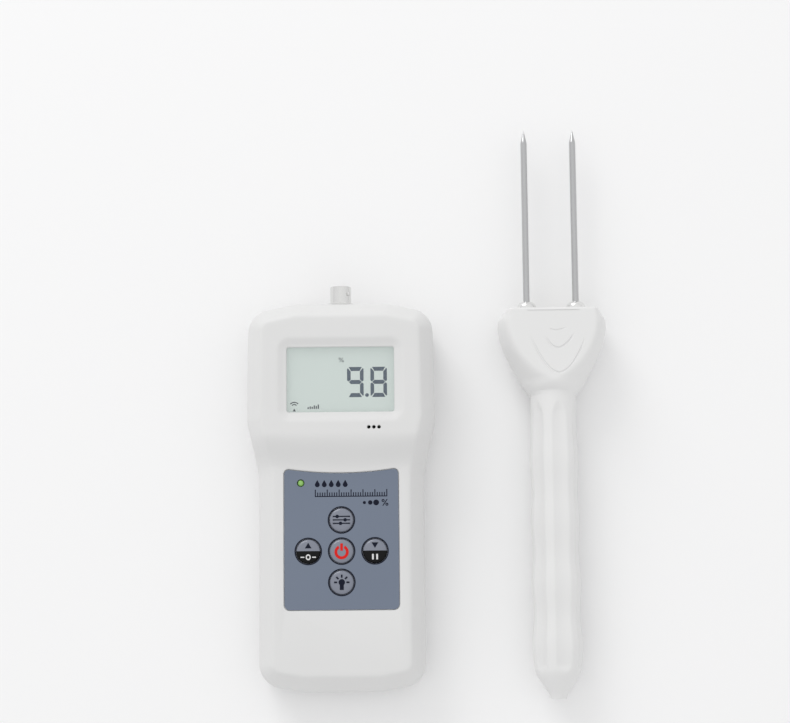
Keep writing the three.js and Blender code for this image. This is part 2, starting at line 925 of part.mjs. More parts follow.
// A section across the probe at y: half width, height in front, height behind, squareness, flute.
function probeSection([y, across, front, back, square, flute]) {
  return Array.from({ length: sectionPoints }, (_, k) => {
    const angle = (2 * Math.PI * k) / sectionPoints;
    const [c, s] = [Math.cos(angle), Math.sin(angle)];
    const power = 2 / square;
    const hollow = flute * Math.sin((angle * flutes) / 2) ** 2;
    const x = (across - hollow) * Math.sign(c) * Math.abs(c) ** power;
    const z = ((s > 0 ? front : back) - hollow) * Math.sign(s) * Math.abs(s) ** power;
    return [x, y, z];
  });
}

// Finger swells along the handle: where each peaks, and how far it stands out.
const swells = [
  [-29.4, 0.65],
  [-58, 0.65],
  [-86.2, 0.85],
  [-113.4, 1.1],
];
const swellHalf = 13.5;

function handleRadius(y) {
  const swell = swells.reduce((sum, [peak, height]) => {
    const t = Math.min(Math.abs(y - peak) / swellHalf, 1);
    return sum + height * (0.5 + 0.5 * Math.cos(Math.PI * t));
  }, 0);
  return gripRadius + swell;
}

function handleStation(y) {
  const fade = Math.min(1, (-y - 2) / 8, (y + gripLength - tailLength) / 5);
  const radius = handleRadius(y);
  return [y, radius, radius, radius, 2, fluteDepth * Math.max(0, fade)];
}

const w = headHalfWidth;
const headStations = [
  [0, gripRadius, gripRadius, gripRadius, 2],
  [3, w * 0.5, 11.9, headBack - 0.5, 2.2],
  [7, w * 0.61, 13, headBack - 0.1, 2.5],
  [12.5, w * 0.725, headFront, headBack, 3.1],
  [20, w * 0.868, headFront, headBack, 3.6],
  [26.5, w * 0.955, headFront, headBack, 4],
  [32.5, w, headFront, headBack, 4.3],
  [35.5, w * 0.99, headFront, headBack, 4.3],
  [headLength - 1.9, w * 0.89, headFront - 0.3, headBack - 0.3, 4.1],
  [headLength, w * 0.78, headFront - 1.6, headBack - 1.6, 3.8],
].map((station) => [...station, 0]);
const handleStations = 18;
const handleStep = (gripLength - tailLength) / handleStations;
const handleYs = Array.from(
  { length: handleStations },
  (_, i) => -gripLength + tailLength + i * handleStep,
);
const tailStations = [
  [-gripLength, tailRadius - 0.3],
  [-gripLength + 0.8, tailRadius],
  [-gripLength + tailLength - 1.8, gripRadius - 0.9],
].map(([y, r]) => [y, r, r, r, 2, 0]);
const probeStations = [...tailStations, ...handleYs.map(handleStation), ...headStations];

const fan = Array.from({ length: sectionPoints - 2 }, (_, k) => [0, k + 1, k + 2]);
// Stations run towards +Y, so each section is turned to go round with the outside facing out.
const probeOuter = solidOf(
  loft(probeStations.map((s) => probeSection(s).reverse()), fan),
);

const screwSpots = [
  ["head", 12],
  ["middle", -50],
  ["tail", -112],
];
const handleBore = gripRadius - probeWall;
const blockDepth = 14;
const blockHalf = pinSpacing / 2 + 5;
const blockLow = headLength - blockDepth;

function probeCavity() {
  const bore = turnedAlongY(
    [
      [0, -gripLength + tailLength + 2],
      [handleBore, -gripLength + tailLength + 4],
      [handleBore, 4],
      [0, 4],
    ],
    0,
    0,
    20,
  );
  const stations = [
    [2, handleBore, handleBore, handleBore, 2.2],
    [14, w * 0.755 - 3, headFront - 3, headBack - 2.8, 2.8],
    [blockLow + 2, w * 0.9 - 3, headFront - 3, headBack - 2.8, 3.4],
    [headLength - 3, w * 0.9 - 3.4, headFront - 3.4, headBack - 3.2, 3.4],
  ].map((s) => probeSection([...s, 0]).reverse());
  return join(bore, solidOf(loft(stations, fan)));
}

// ---------------------------------------------------------------- probe shells

const probePlace = [probeX, probeNeckY, headBack];
const jackSleeve = 2.5;

function probeShell(side) {
  const limits = side > 0 ? [seam, 40] : [-40, -seam];
  const halfSpace = block([-60, 60], [-200, 100], limits);
  const reach = side > 0 ? headFront - 2 : headBack - 2;
  const bosses = screwSpots.map(([, y]) => {
    const tall = y > 0 ? reach : handleBore + 0.8;
    return post(0, y, 2.9, side > 0 ? [seam, tall] : [-tall, -seam], 16);
  });
  const solid = join(cut(probeOuter, probeCavity()), ...bosses).intersect(halfSpace);
  const blockRoom = block(
    [-blockHalf - gap, blockHalf + gap],
    [blockLow - gap, headLength + 2],
    [-5 - gap, 5 + gap],
  );
  const socketRoom = turnedAlongY(
    [
      [0, -gripLength - 1],
      [jackSleeve + gap, -gripLength - 1],
      [jackSleeve + gap, -gripLength + tailLength + 6],
      [0, -gripLength + tailLength + 6],
    ],
    0,
    0,
    20,
  );
  const holes = screwSpots.flatMap(([, y]) =>
    side > 0
      ? [post(0, y, screwRadius + gap, [-1, 6.5], 12)]
      : [
          post(0, y, screwRadius + gap, [-20, 1], 12),
          post(0, y, screwHeadRadius + gap, [-20, -6.4], 20),
        ],
  );
  return cut(solid, blockRoom, socketRoom, ...holes);
}
addNode("probe_front_shell", "casing", probeShell(1), probePlace);
addNode("probe_back_shell", "casing", probeShell(-1), probePlace);

// ---------------------------------------------------------------- electrodes

const electrodeX = [-pinSpacing / 2, pinSpacing / 2];
const blockTop = headLength + 0.3;
addNode(
  "electrode_block",
  "white",
  cut(
    block([-blockHalf, blockHalf], [blockLow, blockTop], [-5, 5]),
    ...electrodeX.map((x) =>
      turnedAlongY(
        [
          [0, blockLow - 1],
          [pinRadius + gap, blockLow - 1],
          [pinRadius + gap, blockTop + 1],
          [0, blockTop + 1],
        ],
        x,
        0,
        14,
      ),
    ),
  ),
  probePlace,
);

const pinTop = headLength + pinReach;
const pinLow = blockLow - 5;
electrodeX.forEach((x, i) => {
  const side = i ? "right" : "left";
  addNode(
    `electrode_pin_${side}`,
    "steel",
    turnedAlongY(
      [
        [0, pinLow],
        [pinRadius, pinLow],
        [pinRadius, pinTop - pinPoint],
        [pinRadius * 0.45, pinTop - 2],
        [0, pinTop],
      ],
      x,
      0,
      16,
    ),
    probePlace,
  );
  const seat = blockTop + gap;
  const bored = (radius, [y0, y1], sides) =>
    turnedAlongY(
      [
        [pinRadius + gap, y0],
        [radius, y0],
        [radius, y1],
        [pinRadius + gap, y1],
        [pinRadius + gap, y0],
      ],
      x,
      0,
      sides,
    );
  addNode(
    `pin_collar_${side}`,
    "chrome",
    join(
      bored(4.1, [seat, seat + 1.6], 16),
      bored(2.7, [seat + 1, seat + collarHeight], 16),
    ),
    probePlace,
  );
  addNode(
    `terminal_nut_${side}`,
    "steel",
    bored(3.2, [blockLow - gap - 2, blockLow - gap], 6),
    probePlace,
  );
  const start = pinLow - gap;
  const s = i ? 1 : -1;
  addNode(
    `probe_lead_${side}`,
    i ? "redLead" : "black",
    wire(
      [
        [x, start, 0],
        [x, start - 4, 0],
        [s * 8.2, start - 12, 0],
        [s * 5, start - 26, 0],
        [s * 5, -40, 0],
        [s * 5, -75, 0],
        [s * 5, -112, 0],
        [s * 2.6, -gripLength + tailLength + 8.5, 0],
      ],
      0.8,
      3,
      14,
    ),
    probePlace,
  );
});

// ---------------------------------------------------------------- probe socket and screws

const socketEnd = -gripLength + 0.4;
addNode(
  "probe_socket",
  "chrome",
  turnedAlongY(
    [
      [jackRadius, socketEnd],
      [jackSleeve, socketEnd],
      [jackSleeve, socketEnd + 15],
      [jackRadius, socketEnd + 15],
      [jackRadius, socketEnd],
    ],
    0,
    0,
    20,
  ),
  probePlace,
);
addNode(
  "probe_socket_contact",
  "gold",
  turnedAlongY(
    [
      [0, socketEnd + 11],
      [jackRadius - gap, socketEnd + 11],
      [jackRadius - gap, socketEnd + 16.6],
      [0, socketEnd + 16.6],
    ],
    0,
    0,
    12,
  ),
  probePlace,
);
for (const [name, y] of screwSpots)
  addNode(`probe_screw_${name}`, "steel", screw(-8.6, 13.5), [
    probeX,
    probeNeckY + y,
    headBack,
  ]);

// ---------------------------------------------------------------- placing the whole

const extent = new THREE.Box3().setFromObject(group);
const centre = extent.getCenter(new THREE.Vector3());
group.position.set(-centre.x, -centre.y, -extent.min.z);

export default group;
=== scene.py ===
import json
import math

import bmesh
import bpy
from mathutils import Matrix, Vector

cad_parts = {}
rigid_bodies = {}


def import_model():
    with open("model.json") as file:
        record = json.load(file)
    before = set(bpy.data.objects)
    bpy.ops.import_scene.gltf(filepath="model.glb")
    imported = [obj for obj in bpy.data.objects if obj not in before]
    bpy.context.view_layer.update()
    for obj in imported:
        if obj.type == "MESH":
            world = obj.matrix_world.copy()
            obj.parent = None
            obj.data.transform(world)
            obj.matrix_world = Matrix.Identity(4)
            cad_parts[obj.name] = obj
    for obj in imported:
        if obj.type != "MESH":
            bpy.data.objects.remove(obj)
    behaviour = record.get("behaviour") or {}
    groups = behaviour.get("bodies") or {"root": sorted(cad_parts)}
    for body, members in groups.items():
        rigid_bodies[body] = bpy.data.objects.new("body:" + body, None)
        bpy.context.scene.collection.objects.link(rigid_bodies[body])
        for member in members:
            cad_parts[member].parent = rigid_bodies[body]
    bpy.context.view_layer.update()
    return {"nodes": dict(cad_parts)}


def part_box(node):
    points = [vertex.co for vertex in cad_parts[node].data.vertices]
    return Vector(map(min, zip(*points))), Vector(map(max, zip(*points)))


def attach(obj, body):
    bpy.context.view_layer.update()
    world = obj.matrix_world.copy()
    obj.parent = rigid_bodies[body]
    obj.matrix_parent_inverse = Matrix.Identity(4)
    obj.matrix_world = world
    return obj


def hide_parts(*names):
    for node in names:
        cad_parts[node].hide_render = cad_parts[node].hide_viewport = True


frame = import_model()


# ---- Front shell ----
# The upper half of the hand-held case, moulded in pale grey ABS with a fine spark texture.
# The face drops from the display to the grip in one soft ramp, all its edges are broad soft
# bevels, and it is screwed to the back shell along a narrow seam.

case_low, case_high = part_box("front_shell")
case_middle = Vector(((case_low.x + case_high.x) / 2, (case_low.y + case_high.y) / 2, 0))
case_end = (case_high.y - case_low.y) * 500
seam_height = case_low.z * 1000
display_face = case_high.z * 1000
label_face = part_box("keypad_label")[1].z * 1000
grip_face = label_face + 0.1
display_rise = display_face - grip_face

window_size = (48.6, 29.6)
window_middle = (0.0, case_end - 35.9)
bezel_depth = 1.5
bezel_width = 4.9
label_width = 51.5
label_ends = (-51.4, 12.0)
label_sag = 2.1
key_places = {
    "fun": (0.0, -11.2),
    "zero": (-15.0, -25.2),
    "power": (0.0, -25.2),
    "hold": (15.0, -25.2),
    "light": (0.0, -39.2),
}
led_place = (-18.3, 5.6)
sound_holes = [(12.75, 30.2), (15.05, 30.2), (17.35, 30.2)]
wall = 2.2
key_hole = 5.7
socket_hole = 4.95
boss_radius = 3.4
screw_hole = 1.7
counterbore = 2.9
cut_depth = 18.0
half_seam = 0.1
ramp_ends = (5.0, 30.0)
screw_places = [(-33.0, 70.0), (33.0, 70.0), (-29.0, -74.0), (29.0, -74.0)]
case_side = [
    (17.7, -88.0, 11.5),
    (37.6, -84.4, 10.6),
    (37.6, 10.0, 16.0),
    (43.0, 34.0, 11.5),
    (42.2, 83.6, 10.6),
    (21.3, 88.0, 11.5),
]
case_outline = case_side + [(-x, y, radius) for x, y, radius in reversed(case_side)]


def rounded_face(corners, height, segments=10):
    """A flat face through (x, y, radius) corners, each rounded to its radius."""
    bm = bmesh.new()
    ring = [bm.verts.new((x, y, height)) for x, y, radius in corners]
    bm.faces.new(ring)
    count = len(corners)
    for i, vertex in enumerate(ring):
        here = Vector(corners[i][:2])
        before = here - Vector(corners[i - 1][:2])
        after = Vector(corners[(i + 1) % count][:2]) - here
        turn = before.angle(after)
        reach = corners[i][2] * math.tan(turn / 2)
        if reach > 0:
            bmesh.ops.bevel(
                bm, geom=[vertex], offset=reach, offset_type="OFFSET",
                segments=segments if turn > 0.5 else 3, profile=0.5, affect="VERTICES",
                material=-1, clamp_overlap=False,
            )
    return bm


def raised(bm, face):
    """Walls drawn up from a flat face, which goes up with them; their foot stays open."""
    made = bmesh.ops.extrude_face_region(bm, geom=[face], use_keep_orig=True)
    bm.faces.remove(face)
    return [f for f in made["geom"] if isinstance(f, bmesh.types.BMFace)][0]


def closed(bm):
    rims = [e for e in bm.edges if e.is_boundary]
    bmesh.ops.holes_fill(bm, edges=rims, sides=0)
    bmesh.ops.recalc_face_normals(bm, faces=bm.faces[:])
    return bm


def build_up(bm, rings):
    """Walls from the one flat face through (inset, height) rings, closed at both ends."""
    bm.faces.ensure_lookup_table()
    face = bm.faces[0]
    inset, height = 0.0, rings[0][1]
    if rings[0][0] > 0:
        rim = bmesh.ops.inset_region(
            bm, faces=[face], thickness=rings[0][0], use_even_offset=True, use_boundary=True
        )
        bmesh.ops.delete(bm, geom=rim["faces"], context="FACES")
        inset = rings[0][0]
    for v in face.verts:
        v.co.z = height
    for next_inset, next_height in rings[1:]:
        if next_inset > inset:
            bmesh.ops.inset_region(
                bm, faces=[face], thickness=next_inset - inset,
                use_even_offset=True, use_boundary=True,
            )
        else:
            face = raised(bm, face)
        for v in face.verts:
            v.co.z = next_height
        inset = next_inset
    return closed(bm)


def score(bm, axis, positions, wanted=lambda centre: True):
    """Splits faces along lines across one axis, so that the surface can be shaped there."""
    for position in positions:
        point, normal = Vector((0, 0, 0)), Vector((0, 0, 0))
        point[axis] = position
        normal[axis] = 1
        faces = [f for f in bm.faces if wanted(f.calc_center_median())]
        edges = list(dict.fromkeys(e for f in faces for e in f.edges))
        corners = list(dict.fromkeys(v for f in faces for v in f.verts))
        bmesh.ops.bisect_plane(bm, geom=faces + edges + corners, plane_co=point, plane_no=normal)


def steps(first, last, count):
    return [first + (last - first) * i / count for i in range(count + 1)]


def ramp(x, y):
    """How far the face has risen from the grip's height towards the display's."""
    across = min(abs(x) / (label_width / 2), 1.25)
    foot = 9.4 + label_sag * across * across
    t = min(max((y - foot) / (28.0 - foot), 0.0), 1.0)
    return display_rise * t * t * (3 - 2 * t)


def bezel(x, y):
    """How far the face dips round the window."""
    beyond_x = max(abs(x - window_middle[0]) - window_size[0] / 2 + 2, 0.0)
    beyond_y = max(abs(y - window_middle[1]) - window_size[1] / 2 + 2, 0.0)
    t = min(max((math.hypot(beyond_x, beyond_y) - 2) / bezel_width, 0.0), 1.0)
    return bezel_depth * (1 - t * t * (3 - 2 * t)) ** 0.9 if t < 1 else 0.0


def moved(bm, x, y, z):
    bmesh.ops.translate(bm, verts=bm.verts[:], vec=(x, y, z))
    return bm


def swung(bm, degrees, axis):
    turn = Matrix.Rotation(math.radians(degrees), 3, axis)
    bmesh.ops.rotate(bm, verts=bm.verts[:], cent=(0, 0, 0), matrix=turn)
    return bm


def lying(bm, x, z, y=0.0):
    """Lays an upright form along +Y, on a line through x and z."""
    return moved(swung(bm, -90, "X"), x, y, z)


def post(x, y, radius, low, high, sides=32):
    """A round bar standing on end."""
    bm = bmesh.new()
    bmesh.ops.create_cone(
        bm, cap_ends=True, segments=sides, radius1=radius, radius2=radius, depth=high - low,
        matrix=Matrix.Translation((x, y, (low + high) / 2)),
    )
    return bm


def block(x, y, z):
    """A rectangular block between (low, high) pairs."""
    bm = bmesh.new()
    centre = Vector([(pair[0] + pair[1]) / 2 for pair in (x, y, z)])
    sizes = [pair[1] - pair[0] for pair in (x, y, z)]
    bmesh.ops.create_cube(
        bm, size=1.0, matrix=Matrix.Translation(centre) @ Matrix.Diagonal((*sizes, 1))
    )
    return bm


def turned(profile, x, y, sides=48):
    """A (radius, height) profile turned about an upright axis."""
    bm = bmesh.new()
    ring = [bm.verts.new((radius, 0, height)) for radius, height in profile]
    edges = [bm.edges.new(pair) for pair in zip(ring, ring[1:])]
    bmesh.ops.spin(
        bm, geom=ring + edges, cent=(0, 0, 0), axis=(0, 0, 1), angle=2 * math.pi,
        steps=sides, use_merge=True,
    )
    bmesh.ops.remove_doubles(bm, verts=bm.verts[:], dist=0.0005)
    bmesh.ops.recalc_face_normals(bm, faces=bm.faces[:])
    return moved(bm, x, y, 0)


def loose_object(bm, name):
    mesh = bpy.data.meshes.new(name)
    bm.to_mesh(mesh)
    bm.free()
    thing = bpy.data.objects.new(name, mesh)
    bpy.context.scene.collection.objects.link(thing)
    return thing


def combined(bm, tools, operation="DIFFERENCE"):
    """The form with the tools cut away from it, or added to it."""
    form = loose_object(bm, "form")
    bench = bpy.data.collections.new("bench")
    bpy.context.scene.collection.children.link(bench)
    for i, tool in enumerate(tools):
        cutter = loose_object(tool, f"tool_{i}")
        bpy.context.scene.collection.objects.unlink(cutter)
        bench.objects.link(cutter)
    cut = form.modifiers.new("cut", "BOOLEAN")
    cut.operation = operation
    cut.operand_type = "COLLECTION"
    cut.collection = bench
    cut.solver = "EXACT"
    bpy.context.view_layer.update()
    shaped = form.evaluated_get(bpy.context.evaluated_depsgraph_get())
    result = bmesh.new()
    result.from_mesh(shaped.to_mesh())
    for thing in list(bench.objects) + [form]:
        bpy.data.objects.remove(thing)
    bpy.data.collections.remove(bench)
    bmesh.ops.remove_doubles(result, verts=result.verts[:], dist=0.0005)
    bmesh.ops.dissolve_degenerate(result, dist=0.0005, edges=result.edges[:])
    return result


def fitted(bm, name, body, finish, middle=None):
    """A finished piece: millimetres about a middle become its own mesh in the frame."""
    bmesh.ops.scale(bm, vec=(0.001, 0.001, 0.001), verts=bm.verts[:])
    bmesh.ops.translate(bm, vec=case_middle if middle is None else middle, verts=bm.verts[:])
    piece = loose_object(bm, name)
    piece.data.shade_smooth()
    piece.data.set_sharp_from_angle(angle=math.radians(32.0))
    for surface in finish if isinstance(finish, list) else [finish]:
        piece.data.materials.append(surface.material)
    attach(piece, body)
    return piece


class Reading:
    """One socket of a finish's nodes, which sums can be written with."""

    def __init__(self, finish, socket):
        self.finish = finish
        self.socket = socket

    def worked(self, operation, first, second):
        return self.finish.node("Math", {"operation": operation}, {0: first, 1: second})

    def __add__(self, other):
        return self.worked("ADD", self, other)

    def __radd__(self, other):
        return self.worked("ADD", other, self)

    def __mul__(self, other):
        return self.worked("MULTIPLY", self, other)

    def __rmul__(self, other):
        return self.worked("MULTIPLY", other, self)

    def __gt__(self, other):
        return self.worked("GREATER_THAN", self, other)


class Finish:
    """A surface: one Principled shader, and the nodes that vary it."""

    def __init__(self, name, colour, **constants):
        self.material = bpy.data.materials.new(name)
        self.material.use_nodes = True
        self.nodes = self.material.node_tree.nodes
        self.links = self.material.node_tree.links
        self.shader = self.nodes["Principled BSDF"]
        self.shader.inputs["Base Color"].default_value = (*colour, 1)
        for label, value in constants.items():
            self.shader.inputs[label.replace("_", " ")].default_value = value
        self.place = self.node("TexCoord", {}, {}, "Object")

    def node(self, kind, settings, sockets, output=0):
        """Adds a node with its settings and sockets, and gives one of its outputs."""
        added = self.nodes.new("ShaderNode" + kind)
        for label, value in settings.items():
            if label == "stops":
                ramp_stops = added.color_ramp.elements
                while len(ramp_stops) < len(value):
                    ramp_stops.new(0.5)
                for stop, (position, colour) in zip(ramp_stops, value):
                    stop.position = position
                    stop.color = (*colour, 1)
            else:
                setattr(added, label, value)
        for label, value in sockets.items():
            if isinstance(value, Reading):
                self.links.new(value.socket, added.inputs[label])
            else:
                added.inputs[label].default_value = value
        return Reading(self, added.outputs[output])

    def noise(self, scale, detail=2.0, place=None):
        sockets = {"Vector": place or self.place, "Scale": scale, "Detail": detail}
        return self.node("TexNoise", {}, sockets, "Fac")

    def mix(self, share, first, second):
        sockets = {0: share, 6: first, 7: second}
        return self.node("Mix", {"data_type": "RGBA"}, sockets, 2)

    def feed(self, **inputs):
        for label, reading in inputs.items():
            self.links.new(reading.socket, self.shader.inputs[label.replace("_", " ")])
        return self

    def bump(self, height, distance, strength=1.0):
        sockets = {"Height": height, "Distance": distance, "Strength": strength}
        return self.feed(Normal=self.node("Bump", {}, sockets, "Normal"))


def moulded(name, colour, roughness, grain=2600.0, relief=0.00002):
    """Moulded plastic: a fine spark texture, a little uneven in tone and sheen."""
    finish = Finish(name, colour, Roughness=roughness)
    cloud = finish.noise(28.0, 3.0)
    spark = finish.noise(grain, 2.0)
    light = tuple(min(c * 1.02, 1.0) for c in colour) + (1.0,)
    dark = tuple(c * 0.965 for c in colour) + (1.0,)
    tone = cloud * 0.7 + spark * 0.3
    finish.feed(Base_Color=finish.mix(tone, dark, light))
    finish.feed(Roughness=cloud * 0.1 + spark * 0.06 + (roughness - 0.08))
    return finish.bump(spark, relief, 0.35)


case_plastic = moulded("case_plastic", (0.72, 0.72, 0.715), 0.5)


def front_form(inset, sink, lanes):
    """The front's solid form, the case's outside or the hollow in it."""
    bm = rounded_face(case_outline, seam_height)
    if inset:
        edge_rings = [(0.3, 8.6), (5.7, 0.0), (7.0, 0.0)]
        start = seam_height - 1
    else:
        edge_rings = [
            (0.25, 9.0), (0.5, 8.0), (0.95, 7.05), (1.7, 6.0), (3.4, 3.9), (5.4, 1.45),
            (6.0, 0.8), (6.6, 0.35), (7.2, 0.1), (7.9, 0.0), (9.3, 0.0),
        ]
        start = seam_height
    rings = [(inset, start)] + [(inset + i, grip_face - sink - drop) for i, drop in edge_rings]
    build_up(bm, rings)
    score(bm, 1, steps(*ramp_ends, lanes))
    on_ramp = lambda c: ramp_ends[0] < c.y < ramp_ends[1] and c.z > grip_face - sink - 0.5
    score(bm, 0, steps(-32.0, 32.0, lanes), on_ramp)
    if not inset:
        half_x, half_y = window_size[0] / 2, window_size[1] / 2
        lanes_out = steps(-1.0, bezel_width + 1.2, 12)
        on_face = lambda c: c.y > ramp_ends[1] and c.z > grip_face - 0.1
        marks_x = [side * (half_x + lane) for side in (-1, 1) for lane in lanes_out]
        marks_y = [window_middle[1] + side * (half_y + lane) for side in (-1, 1) for lane in lanes_out]
        score(bm, 1, marks_y, on_face)
        score(bm, 0, marks_x + [-32.5, 32.5], lambda c: on_face(c) and abs(c.x) < 33.0)
    for v in bm.verts:
        if v.co.z > start + 0.01:
            face = v.co.z > grip_face - 0.05
            v.co.z += ramp(v.co.x, v.co.y) - (bezel(v.co.x, v.co.y) if face else 0.0)
    return bm


def rectangle(width, ends, radius):
    half = width / 2
    low, high = ends
    return [(half, low, radius), (half, high, radius), (-half, high, radius), (-half, low, radius)]


def label_outline(grow, height):
    """The label's outline: a rounded rectangle whose top edge sags along the ramp's foot."""
    ends = (label_ends[0] - grow, label_ends[1] + grow)
    bm = rounded_face(rectangle(label_width + 2 * grow, ends, 2.4 + grow), height, 8)
    top = [e for e in bm.edges if all(abs(v.co.y - ends[1]) < 1e-4 for v in e.verts)]
    bmesh.ops.subdivide_edges(bm, edges=top, cuts=31)
    for v in bm.verts:
        across = abs(v.co.x) / (label_width / 2)
        if v.co.y > 0:
            v.co.y -= label_sag * (1 - min(across, 1.0) ** 2)
    return bm


window_half = window_size[1] / 2
window_ends = (window_middle[1] - window_half, window_middle[1] + window_half)
window_top = display_face - bezel_depth
window_cut = build_up(
    rounded_face(rectangle(window_size[0] + 0.8, (window_ends[0] - 0.4, window_ends[1] + 0.4), 1.3), 0),
    [
        (0.0, display_face + 3), (0.0, window_top + 0.03), (0.25, window_top - 0.12),
        (0.4, window_top - 0.4), (0.4, cut_depth),
    ],
)
label_cut = build_up(
    label_outline(0.75, 0),
    [
        (0.0, display_face + 6), (0.0, grip_face + 0.02), (0.3, grip_face - 0.1),
        (0.5, grip_face - 0.45), (0.5, grip_face - 0.8),
    ],
)
front_cuts = [front_form(wall, wall, 12), window_cut, label_cut]
for x, y in key_places.values():
    front_cuts.append(post(x, y, key_hole, cut_depth, 34.0, 64))
front_cuts.append(post(*led_place, 1.75, cut_depth, 34.0))
sound_rim = [
    (0, display_face + 2), (1.05, display_face + 2), (1.05, display_face),
    (0.8, display_face - 0.25), (0.8, cut_depth), (0, cut_depth),
]
for x, y in sound_holes:
    front_cuts.append(turned(sound_rim, x, y, 24))


def jack_bore(height):
    """The round bar whose hole the socket stands in."""
    return lying(post(0, 0, socket_hole, -4.0, 16.0, 48), 0, height, case_end - 8)


front_cuts.append(jack_bore(seam_height - half_seam))
front = combined(front_form(0.0, 0.0, 25), front_cuts)
front_bosses = []
front_holes = []
for x, y in screw_places:
    front_bosses.append(post(x, y, boss_radius, seam_height, grip_face + ramp(x, y) - 1.6, 24))
    front_holes.append(post(x, y, screw_hole, seam_height - 2, seam_height + 6.4, 20))
front = combined(front, front_bosses, "UNION")
front = combined(front, front_holes)
front_shell = fitted(front, "case_front", "meter", case_plastic)
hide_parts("front_shell")


# ---- Display ----
# A reflective liquid crystal glass in a white holder, over a diffuser and its rubber contact strip.
# A clear polycarbonate lens is bonded behind the window. Lit segments are blue-grey on grey-green.

glass_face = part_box("lcd_glass")[1].z * 1000

lens_clear = Finish(
    "window_lens", (0.5, 0.52, 0.51), Roughness=0.03, Alpha=0.07, Specular_IOR_Level=0.6
)
lens_haze = lens_clear.noise(60.0, 3.0)
lens_clear.feed(Roughness=lens_haze * 0.05 + 0.02)

crystal = Finish("liquid_crystal_painted_glow", (0.25, 0.282, 0.268), Roughness=0.3, Coat_Weight=0.2)
crystal_cloud = crystal.noise(35.0, 2.0)
crystal_grain = crystal.noise(5200.0, 1.0)
crystal.feed(
    Base_Color=crystal.mix(
        crystal_cloud * 0.8 + crystal_grain * 0.2,
        (0.236, 0.268, 0.254, 1),
        (0.262, 0.296, 0.28, 1),
    )
)
# The glass glows a little of its own accord: painted light, since it is no lamp, that keeps it pale where
# the window's recess shades it.
crystal.shader.inputs["Emission Color"].default_value = (0.6, 0.67, 0.645, 1)
crystal.shader.inputs["Emission Strength"].default_value = 0.61
crystal.feed(Roughness=crystal_grain * 0.1 + 0.24)

diffuser_sheet = moulded("diffuser_sheet", (0.84, 0.86, 0.82), 0.6, 3000.0)
holder_plastic = moulded("holder_plastic", (0.83, 0.82, 0.79), 0.5, 2200.0)
strip_rubber = Finish("strip_rubber", (0.03, 0.03, 0.032), Roughness=0.7)
strip_waves = strip_rubber.node(
    "TexWave", {"bands_direction": "X"}, {"Vector": strip_rubber.place, "Scale": 800.0}, "Fac"
)
strip_rubber.feed(
    Base_Color=strip_rubber.mix(strip_waves > 0.5, (0.02, 0.02, 0.022, 1), (0.6, 0.24, 0.2, 1))
)


def surfaced(finish, *nodes):
    """Gives CAD pieces their finish and leaves their meshes as they are."""
    for node in nodes:
        frame["nodes"][node].data.materials.clear()
        frame["nodes"][node].data.materials.append(finish.material)


surfaced(lens_clear, "lcd_window")
surfaced(crystal, "lcd_glass")
surfaced(diffuser_sheet, "lcd_backlight")
surfaced(holder_plastic, "lcd_holder")
surfaced(strip_rubber, "contact_strip")


def plate(corners, low, high):
    """A thin plate on an outline of (x, y) corners."""
    bm = bmesh.new()
    face = bm.faces.new([bm.verts.new((x, y, low)) for x, y in corners])
    made = bmesh.ops.extrude_face_region(bm, geom=[face], use_keep_orig=True)
    lifted = [v for v in made["geom"] if isinstance(v, bmesh.types.BMVert)]
    bmesh.ops.translate(bm, verts=lifted, vec=(0, 0, high - low))
    bmesh.ops.recalc_face_normals(bm, faces=bm.faces[:])
    return bm


def arc(x, y, inner, outer, low, high, first=0.0, last=360.0, sides=48):
    """A flat ring, or part of one, turned about an upright axis."""
    bm = bmesh.new()
    profile = [(inner, low), (outer, low), (outer, high), (inner, high)]
    face = bm.faces.new([bm.verts.new((radius, 0, height)) for radius, height in profile])
    whole = last - first >= 360
    swung(bm, first, "Z")
    geom = bm.verts[:] + bm.edges[:] + ([] if whole else [face])
    if whole:
        bm.faces.remove(face)
    bmesh.ops.spin(
        bm, geom=geom, cent=(0, 0, 0), axis=(0, 0, 1), angle=math.radians(last - first),
        steps=sides, use_merge=whole,
    )
    bmesh.ops.remove_doubles(bm, verts=bm.verts[:], dist=0.0005)
    bmesh.ops.recalc_face_normals(bm, faces=bm.faces[:])
    return moved(bm, x, y, 0)


def together(parts):
    """Several small forms gathered into one."""
    whole = bmesh.new()
    for part in parts:
        mesh = bpy.data.meshes.new("part")
        part.to_mesh(mesh)
        part.free()
        whole.from_mesh(mesh)
        bpy.data.meshes.remove(mesh)
    return whole


def mirrored(corners, x, y, across, upright):
    return [(x + across * dx, y + upright * dy) for dx, dy in corners]


digit_width, digit_height = 7.5, 13.8
level_bar, upright_bar = 1.85, 1.65
flat_segment = [
    (0.75, 0.0),
    (digit_width - 0.75, 0.0),
    (digit_width - upright_bar - 0.15, -level_bar),
    (upright_bar + 0.15, -level_bar),
]
half_height = digit_height / 2
side_segment = [
    (0.0, -0.75),
    (0.45, -0.62),
    (upright_bar, -level_bar - 0.25),
    (upright_bar, -half_height + 1.15),
    (0.7, -half_height + 0.2),
    (0.0, -half_height + 0.75),
]
middle_segment = [
    (0.85, -half_height),
    (1.75, -half_height + 0.93),
    (digit_width - 1.75, -half_height + 0.93),
    (digit_width - 0.85, -half_height),
    (digit_width - 1.75, -half_height - 0.93),
    (1.75, -half_height - 0.93),
]
ink_low, ink_high = glass_face - 0.01, glass_face + 0.03
screen_left = window_middle[0] - 24.3
screen_top = window_middle[1] + 14.95


